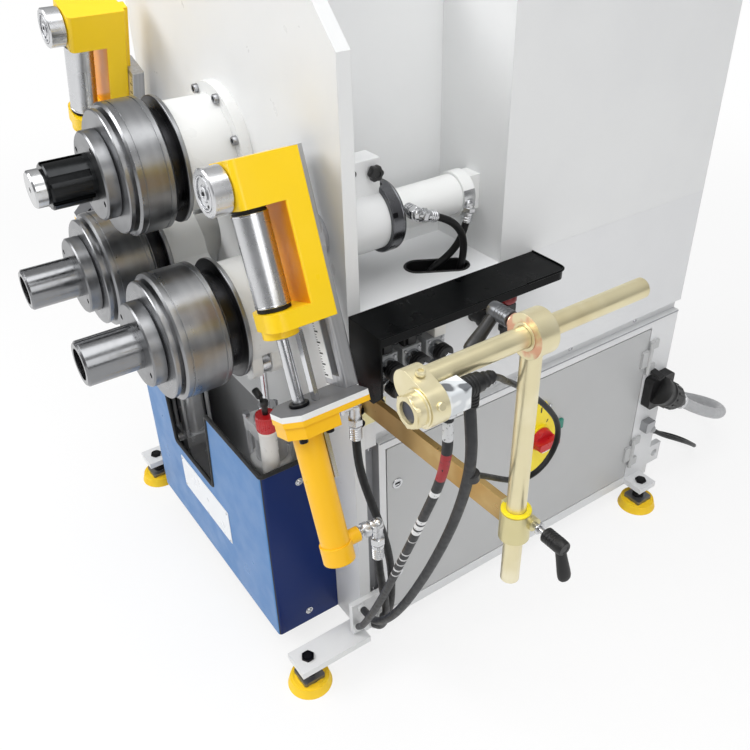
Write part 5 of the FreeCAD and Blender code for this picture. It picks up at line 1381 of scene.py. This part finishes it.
LOWER_TILT, UPPER_TILT = math.radians(72), math.radians(44)
LOWER_WAY = Vector((math.cos(LOWER_TILT), 0, -math.sin(LOWER_TILT)))
UPPER_WAY = Vector((0, -math.cos(UPPER_TILT), -math.sin(UPPER_TILT)))
piece("lower_lever_grip", BLACK, "lower_lever", lambda bm: handle(bm,
    (927.3, LOWER_LEVER_Y, LOWER_LEVER_Z), LOWER_WAY, AY, 50))
piece("upper_lever_grip", BLACK, "upper_lever", lambda bm: handle(bm, (777.7, ARM_Y, CROSS_ROD_Z),
    UPPER_WAY, AX, 60))
piece("lower_lever_hub", BLACK, "lower_lever", lambda bm: hub_ring(bm,
    (899.3, LOWER_LEVER_Y, LOWER_LEVER_Z), AX))
piece("upper_lever_hub", GREY_HUB, "upper_lever", lambda bm: hub_ring(bm, (805.7, ARM_Y, CROSS_ROD_Z),
    -AX))


def lever_washers(bm):
    ring(bm, (884.2, LOWER_LEVER_Y, LOWER_LEVER_Z), AX, 5.4, 9.5, 2.4, 0.4)


piece("lower_lever_washer", BRIGHT, "lower_lever", lever_washers)


def cable_clip(bm):
    """Clip that holds the end of the loop cable against the sleeve."""
    along = Vector((-6, 10, -52)).normalized()
    lathe(bm, Vector((864, 186.5, 878)) - along * 7, along, [(0, 8.6), (0.6, 9.9), (13.4, 9.9),
        (14, 8.6)], 40)
    lathe(bm, (853, 196, 866), Vector((0.5, -0.4, 0.2)), [(0, 5.6), (1, 6.4), (9, 6.4), (10, 5.6)], 32)


piece("cable_clip", BLACK, "frame", cable_clip)


# Feet
FEET_AT = [(430, 128), (462, 1165)]


def foot_nuts(bm):
    for x, y in FEET_AT:
        hex_nut(bm, (x, y, 82), AZ, 26, 5.5)
        ring(bm, (x, y, 64), AZ, 8.4, 15, 2, 0.4)
        hex_nut(bm, (x, y, 52), AZ, 26, 11)


pair("foot_lock_nuts", BLACKENED_AND_HOLE_SHADE, "frame", foot_nuts)


def foot_treads(bm):
    """Moulded rings on the rubber pads."""
    for x, y in FEET_AT:
        ring(bm, (x, y, 21.4), AZ, 27, 31, 1.8, 0.7, 64)
        ring(bm, (x, y, 21.4), AZ, 36, 40, 1.6, 0.7, 64)


pair("foot_pad_rings", PAD, "frame", foot_treads)


# Supply plug, conduit and glands
PLUG_WAY = Vector((0, 0.8, -0.6))
PLUG_START = Vector((458, 1170, 380))


def plug_dressing(bm):
    """Ribs, latch ring and rear nut of the supply plug."""
    lathe(bm, PLUG_START - PLUG_WAY * 2, PLUG_WAY, [(0, 34), (2, 37.6), (16, 37.6), (18, 35.6),
        (30, 35.6), (32, 37), (38, 37), (40, 35.4)], 64)
    for k in range(12):
        angle = 2 * math.pi * k / 12
        side, up, _ = basis(PLUG_WAY)
        out = side * math.cos(angle) + up * math.sin(angle)
        slab(bm, PLUG_START + PLUG_WAY * 59 + out * 34.4, out, 26, 6, 2.4, 1.5, up=PLUG_WAY, edge=0.6)
    lathe(bm, PLUG_START + PLUG_WAY * 77, PLUG_WAY, [(0, 31), (6, 31.4), (8, 28)], 56)
    slab(bm, (452, 1160, 424), Vector((0.2, -0.2, 1)), 34, 18, 10, 3, up=AX, edge=1.2)


def plug_gland(bm):
    end = PLUG_START + PLUG_WAY * 122
    lathe(bm, end, PLUG_WAY, [(0, 19.6), (2, 21.5), (9, 21.5), (10, 20)], 48)
    hex_nut(bm, end - PLUG_WAY * 11, PLUG_WAY, 43, 11)


piece("supply_plug_dressing", BLACK, "frame", plug_dressing)
piece("supply_plug_gland", BRIGHT, "frame", plug_gland)


def gland_dressing(bm):
    """Hexagons and seal domes of the three cable glands."""
    lean = Vector((0, 1, -1)).normalized()
    start = Vector((441, 1178, 253))
    hex_nut(bm, start + lean * 12, lean, 24, 9)
    lathe(bm, start + lean * 21, lean, [(0, 11), (8, 11), (13, 8.5), (15, 6.4)], 40)
    hex_nut(bm, (113, REAR_Y + 0.3, 116), AY, 52, 10)
    lathe(bm, (113, REAR_Y + 10, 116), AY, [(0, 23), (10, 23), (17, 19), (19.5, 16)], 56)
    hex_nut(bm, (242, REAR_Y + 0.3, 84), AY, 26, 8)
    lathe(bm, (242, REAR_Y + 8, 84), AY, [(0, 11.6), (10, 11.6), (16, 9), (20, 6.6)], 40)


piece("gland_dressing", GREY, "frame", gland_dressing)


# ---------------------------------------------------------------- left side and rear

def louvre(bm, origin, out, along, length):
    """One pressed louvre: a hooded slot that stands 9 mm proud of the sheet."""
    up = out.cross(along)
    half = length / 2
    profile = ((0.0, -10.0), (8.6, -9.0), (9.0, -7.6), (6.0, 2.0), (0.0, 9.0))
    rows = []
    for t, scale in ((-half, 0.05), (-half + 8, 0.7), (-half + 18, 1.0), (half - 18, 1.0),
            (half - 8, 0.7), (half, 0.05)):
        rows.append([bm.verts.new(place(*(Vector(origin) + along * t + out * (d * scale) + up * h)))
            for d, h in profile])
    for low, high in zip(rows, rows[1:]):
        for k in range(len(profile)):
            j = (k + 1) % len(profile)
            bm.faces.new((low[k], low[j], high[j], high[k]))
    bm.faces.new(rows[0])
    bm.faces.new(list(reversed(rows[-1])))


def side_louvres(bm):
    for row in range(7):
        louvre(bm, (-SIDE_X, 640, 210 + 34 * row), -AX, AY, 260)
        louvre(bm, (-SIDE_X, 960, 210 + 34 * row), -AX, AY, 260)


def rear_louvres(bm):
    for row in range(8):
        louvre(bm, (-190, REAR_Y, 1080 + 32 * row), AY, AX, 230)
        louvre(bm, (190, REAR_Y, 1080 + 32 * row), AY, AX, 230)


def rear_panel(bm):
    """Screwed service panel low on the rear sheet."""
    slab(bm, (-110, REAR_Y, 390), AY, 560, 380, 3, 12, up=AX, edge=0.8)


def rear_screws(bm):
    for x in (-370, -197, -23, 150):
        for z in (218, 562):
            button_screw(bm, (x, REAR_Y + 3, z), AY, 8)
    for z in (333, 447):
        for x in (-370, 150):
            button_screw(bm, (x, REAR_Y + 3, z), AY, 8)
    for y in (480, 1120):
        for z in (180, 450):
            button_screw(bm, (-SIDE_X, y, z), -AX, 8)


def lifting_bosses(bm):
    """Threaded lifting points on the casing's two upper sides."""
    for y in (720, 1130):
        lathe(bm, (SIDE_X, y, 1392), AX, [(0, 24), (2, 25), (6, 25), (8, 23.5), (8, 12), (2, 11)], 56)


piece("side_louvres", BODY, "frame", side_louvres, 30.0)
piece("rear_louvres", BODY, "frame", rear_louvres, 30.0)
piece("rear_service_panel", BODY, "frame", rear_panel)
piece("rear_panel_screws", BRIGHT, "frame", rear_screws)
pair("lifting_boss", STEEL, "frame", lifting_bosses)


# ---------------------------------------------------------------- stage, light and camera

WORLD_STRENGTH = 0.6
FLOOR_GLOW = 0.78


def background_rays(tree):
    """1 for camera, mirror and glass rays, 0 for the light that falls on the object."""
    path = tree.nodes.new("ShaderNodeLightPath")
    total = path.outputs["Is Camera Ray"]
    for name in ("Is Glossy Ray", "Is Transmission Ray"):
        join = tree.nodes.new("ShaderNodeMath")
        join.operation = "MAXIMUM"
        tree.links.new(total, join.inputs[0])
        tree.links.new(path.outputs[name], join.inputs[1])
        total = join.outputs[0]
    return total


def studio():
    world = bpy.data.worlds.new("studio")
    bpy.context.scene.world = world
    world.use_nodes = True
    tree = world.node_tree
    background = tree.nodes["Background"]
    coord = tree.nodes.new("ShaderNodeTexCoord")
    split = tree.nodes.new("ShaderNodeSeparateXYZ")
    ramp = tree.nodes.new("ShaderNodeValToRGB")
    tree.links.new(coord.outputs["Generated"], split.inputs[0])
    tree.links.new(split.outputs["Z"], ramp.inputs["Fac"])
    ramp.color_ramp.elements[0].position = 0.0
    ramp.color_ramp.elements[0].color = (0.30, 0.305, 0.315, 1)
    ramp.color_ramp.elements[1].position = 0.8
    ramp.color_ramp.elements[1].color = (1.0, 1.0, 1.0, 1)
    middle = ramp.color_ramp.elements.new(0.35)
    middle.color = (0.62, 0.62, 0.63, 1)
    tree.links.new(ramp.outputs["Color"], background.inputs["Color"])
    background.inputs["Strength"].default_value = WORLD_STRENGTH
    white = tree.nodes.new("ShaderNodeBackground")
    white.inputs["Color"].default_value = (1.0, 1.0, 1.0, 1)
    path = tree.nodes.new("ShaderNodeLightPath")
    choose = tree.nodes.new("ShaderNodeMixShader")
    tree.links.new(path.outputs["Is Camera Ray"], choose.inputs[0])
    tree.links.new(background.outputs[0], choose.inputs[1])
    tree.links.new(white.outputs[0], choose.inputs[2])
    tree.links.new(choose.outputs[0], tree.nodes["World Output"].inputs["Surface"])
    bpy.context.scene.view_settings.view_transform = "Standard"

    bm = bmesh.new()
    n = 64
    rings = []
    for radius, z in ((6.0, -0.0005), (12.0, -0.0005)):
        rings.append([bm.verts.new((radius * math.cos(2 * math.pi * k / n),
            radius * math.sin(2 * math.pi * k / n), z)) for k in range(n)])
    bm.faces.new(rings[0])
    for k in range(n):
        bm.faces.new((rings[0][k], rings[0][(k + 1) % n], rings[1][(k + 1) % n], rings[1][k]))
    bmesh.ops.recalc_face_normals(bm, faces=bm.faces)
    mesh = bpy.data.meshes.new("floor")
    bm.to_mesh(mesh)
    bm.free()
    floor = bpy.data.objects.new("floor", mesh)
    bpy.context.scene.collection.objects.link(floor)
    ground = Finish("studio_floor", (246, 246, 246), 0.6)
    ground.tint(ground.span(ground.noise(0.7, 2.0), 0.3, 0.8, 0, 0.4), (242, 243, 244))
    ground.done()
    glow = ground.add("ShaderNodeEmission")
    glow.inputs["Color"].default_value = (1.0, 1.0, 1.0, 1)
    blend = ground.add("ShaderNodeMixShader")
    far = ground.span(ground.vector("LENGTH", ground.position), 1.5, 4.5, FLOOR_GLOW, 1.0)
    ground.feed(blend.inputs[0], ground.math("MULTIPLY", background_rays(ground.tree), far))
    ground.tree.links.new(ground.shader.outputs[0], blend.inputs[1])
    ground.tree.links.new(glow.outputs[0], blend.inputs[2])
    ground.tree.links.new(blend.outputs[0], ground.tree.nodes["Material Output"].inputs["Surface"])
    mesh.materials.append(ground.material)


def lamp(name, where, target, size, watts):
    data = bpy.data.lights.new(name, "AREA")
    data.shape = "RECTANGLE"
    data.size, data.size_y = size
    data.energy = watts
    obj = bpy.data.objects.new(name, data)
    obj.location = where
    obj.rotation_euler = (Vector(target) - Vector(where)).to_track_quat("-Z", "Y").to_euler()
    bpy.context.scene.collection.objects.link(obj)


# The fitted camera: its focal length in pixels, and the picture's width
FOCAL_PIXELS, PICTURE_PIXELS = 839.0, 750


def view():
    """The camera that was fitted to the photograph, given by its three axes and its place."""
    data = bpy.data.cameras.new("view")
    data.sensor_width = 36.0
    data.sensor_fit = "HORIZONTAL"
    data.lens = FOCAL_PIXELS / PICTURE_PIXELS * data.sensor_width
    camera = bpy.data.objects.new("view", data)
    right = Vector((0.5665, 0.8238, -0.0213))
    up = Vector((-0.4510, 0.3316, 0.8287))
    back = Vector((0.6897, -0.4598, 0.5593))
    turn = Matrix((right, up, back)).transposed().to_4x4()
    camera.matrix_world = Matrix.Translation(place(1502.5, -391.4, 1619.2)) @ turn
    bpy.context.scene.collection.objects.link(camera)
    bpy.context.scene.camera = camera


studio()
lamp("key", (-1.8, -3.2, 3.4), (0.0, 0.0, 0.7), (2.4, 2.0), 98)
lamp("fill", (3.4, -0.6, 2.2), (0.1, 0.1, 0.7), (2.0, 2.0), 26)
lamp("top", (0.9, -0.7, 3.7), (0.35, 0.0, 0.8), (2.6, 2.6), 56)
view()
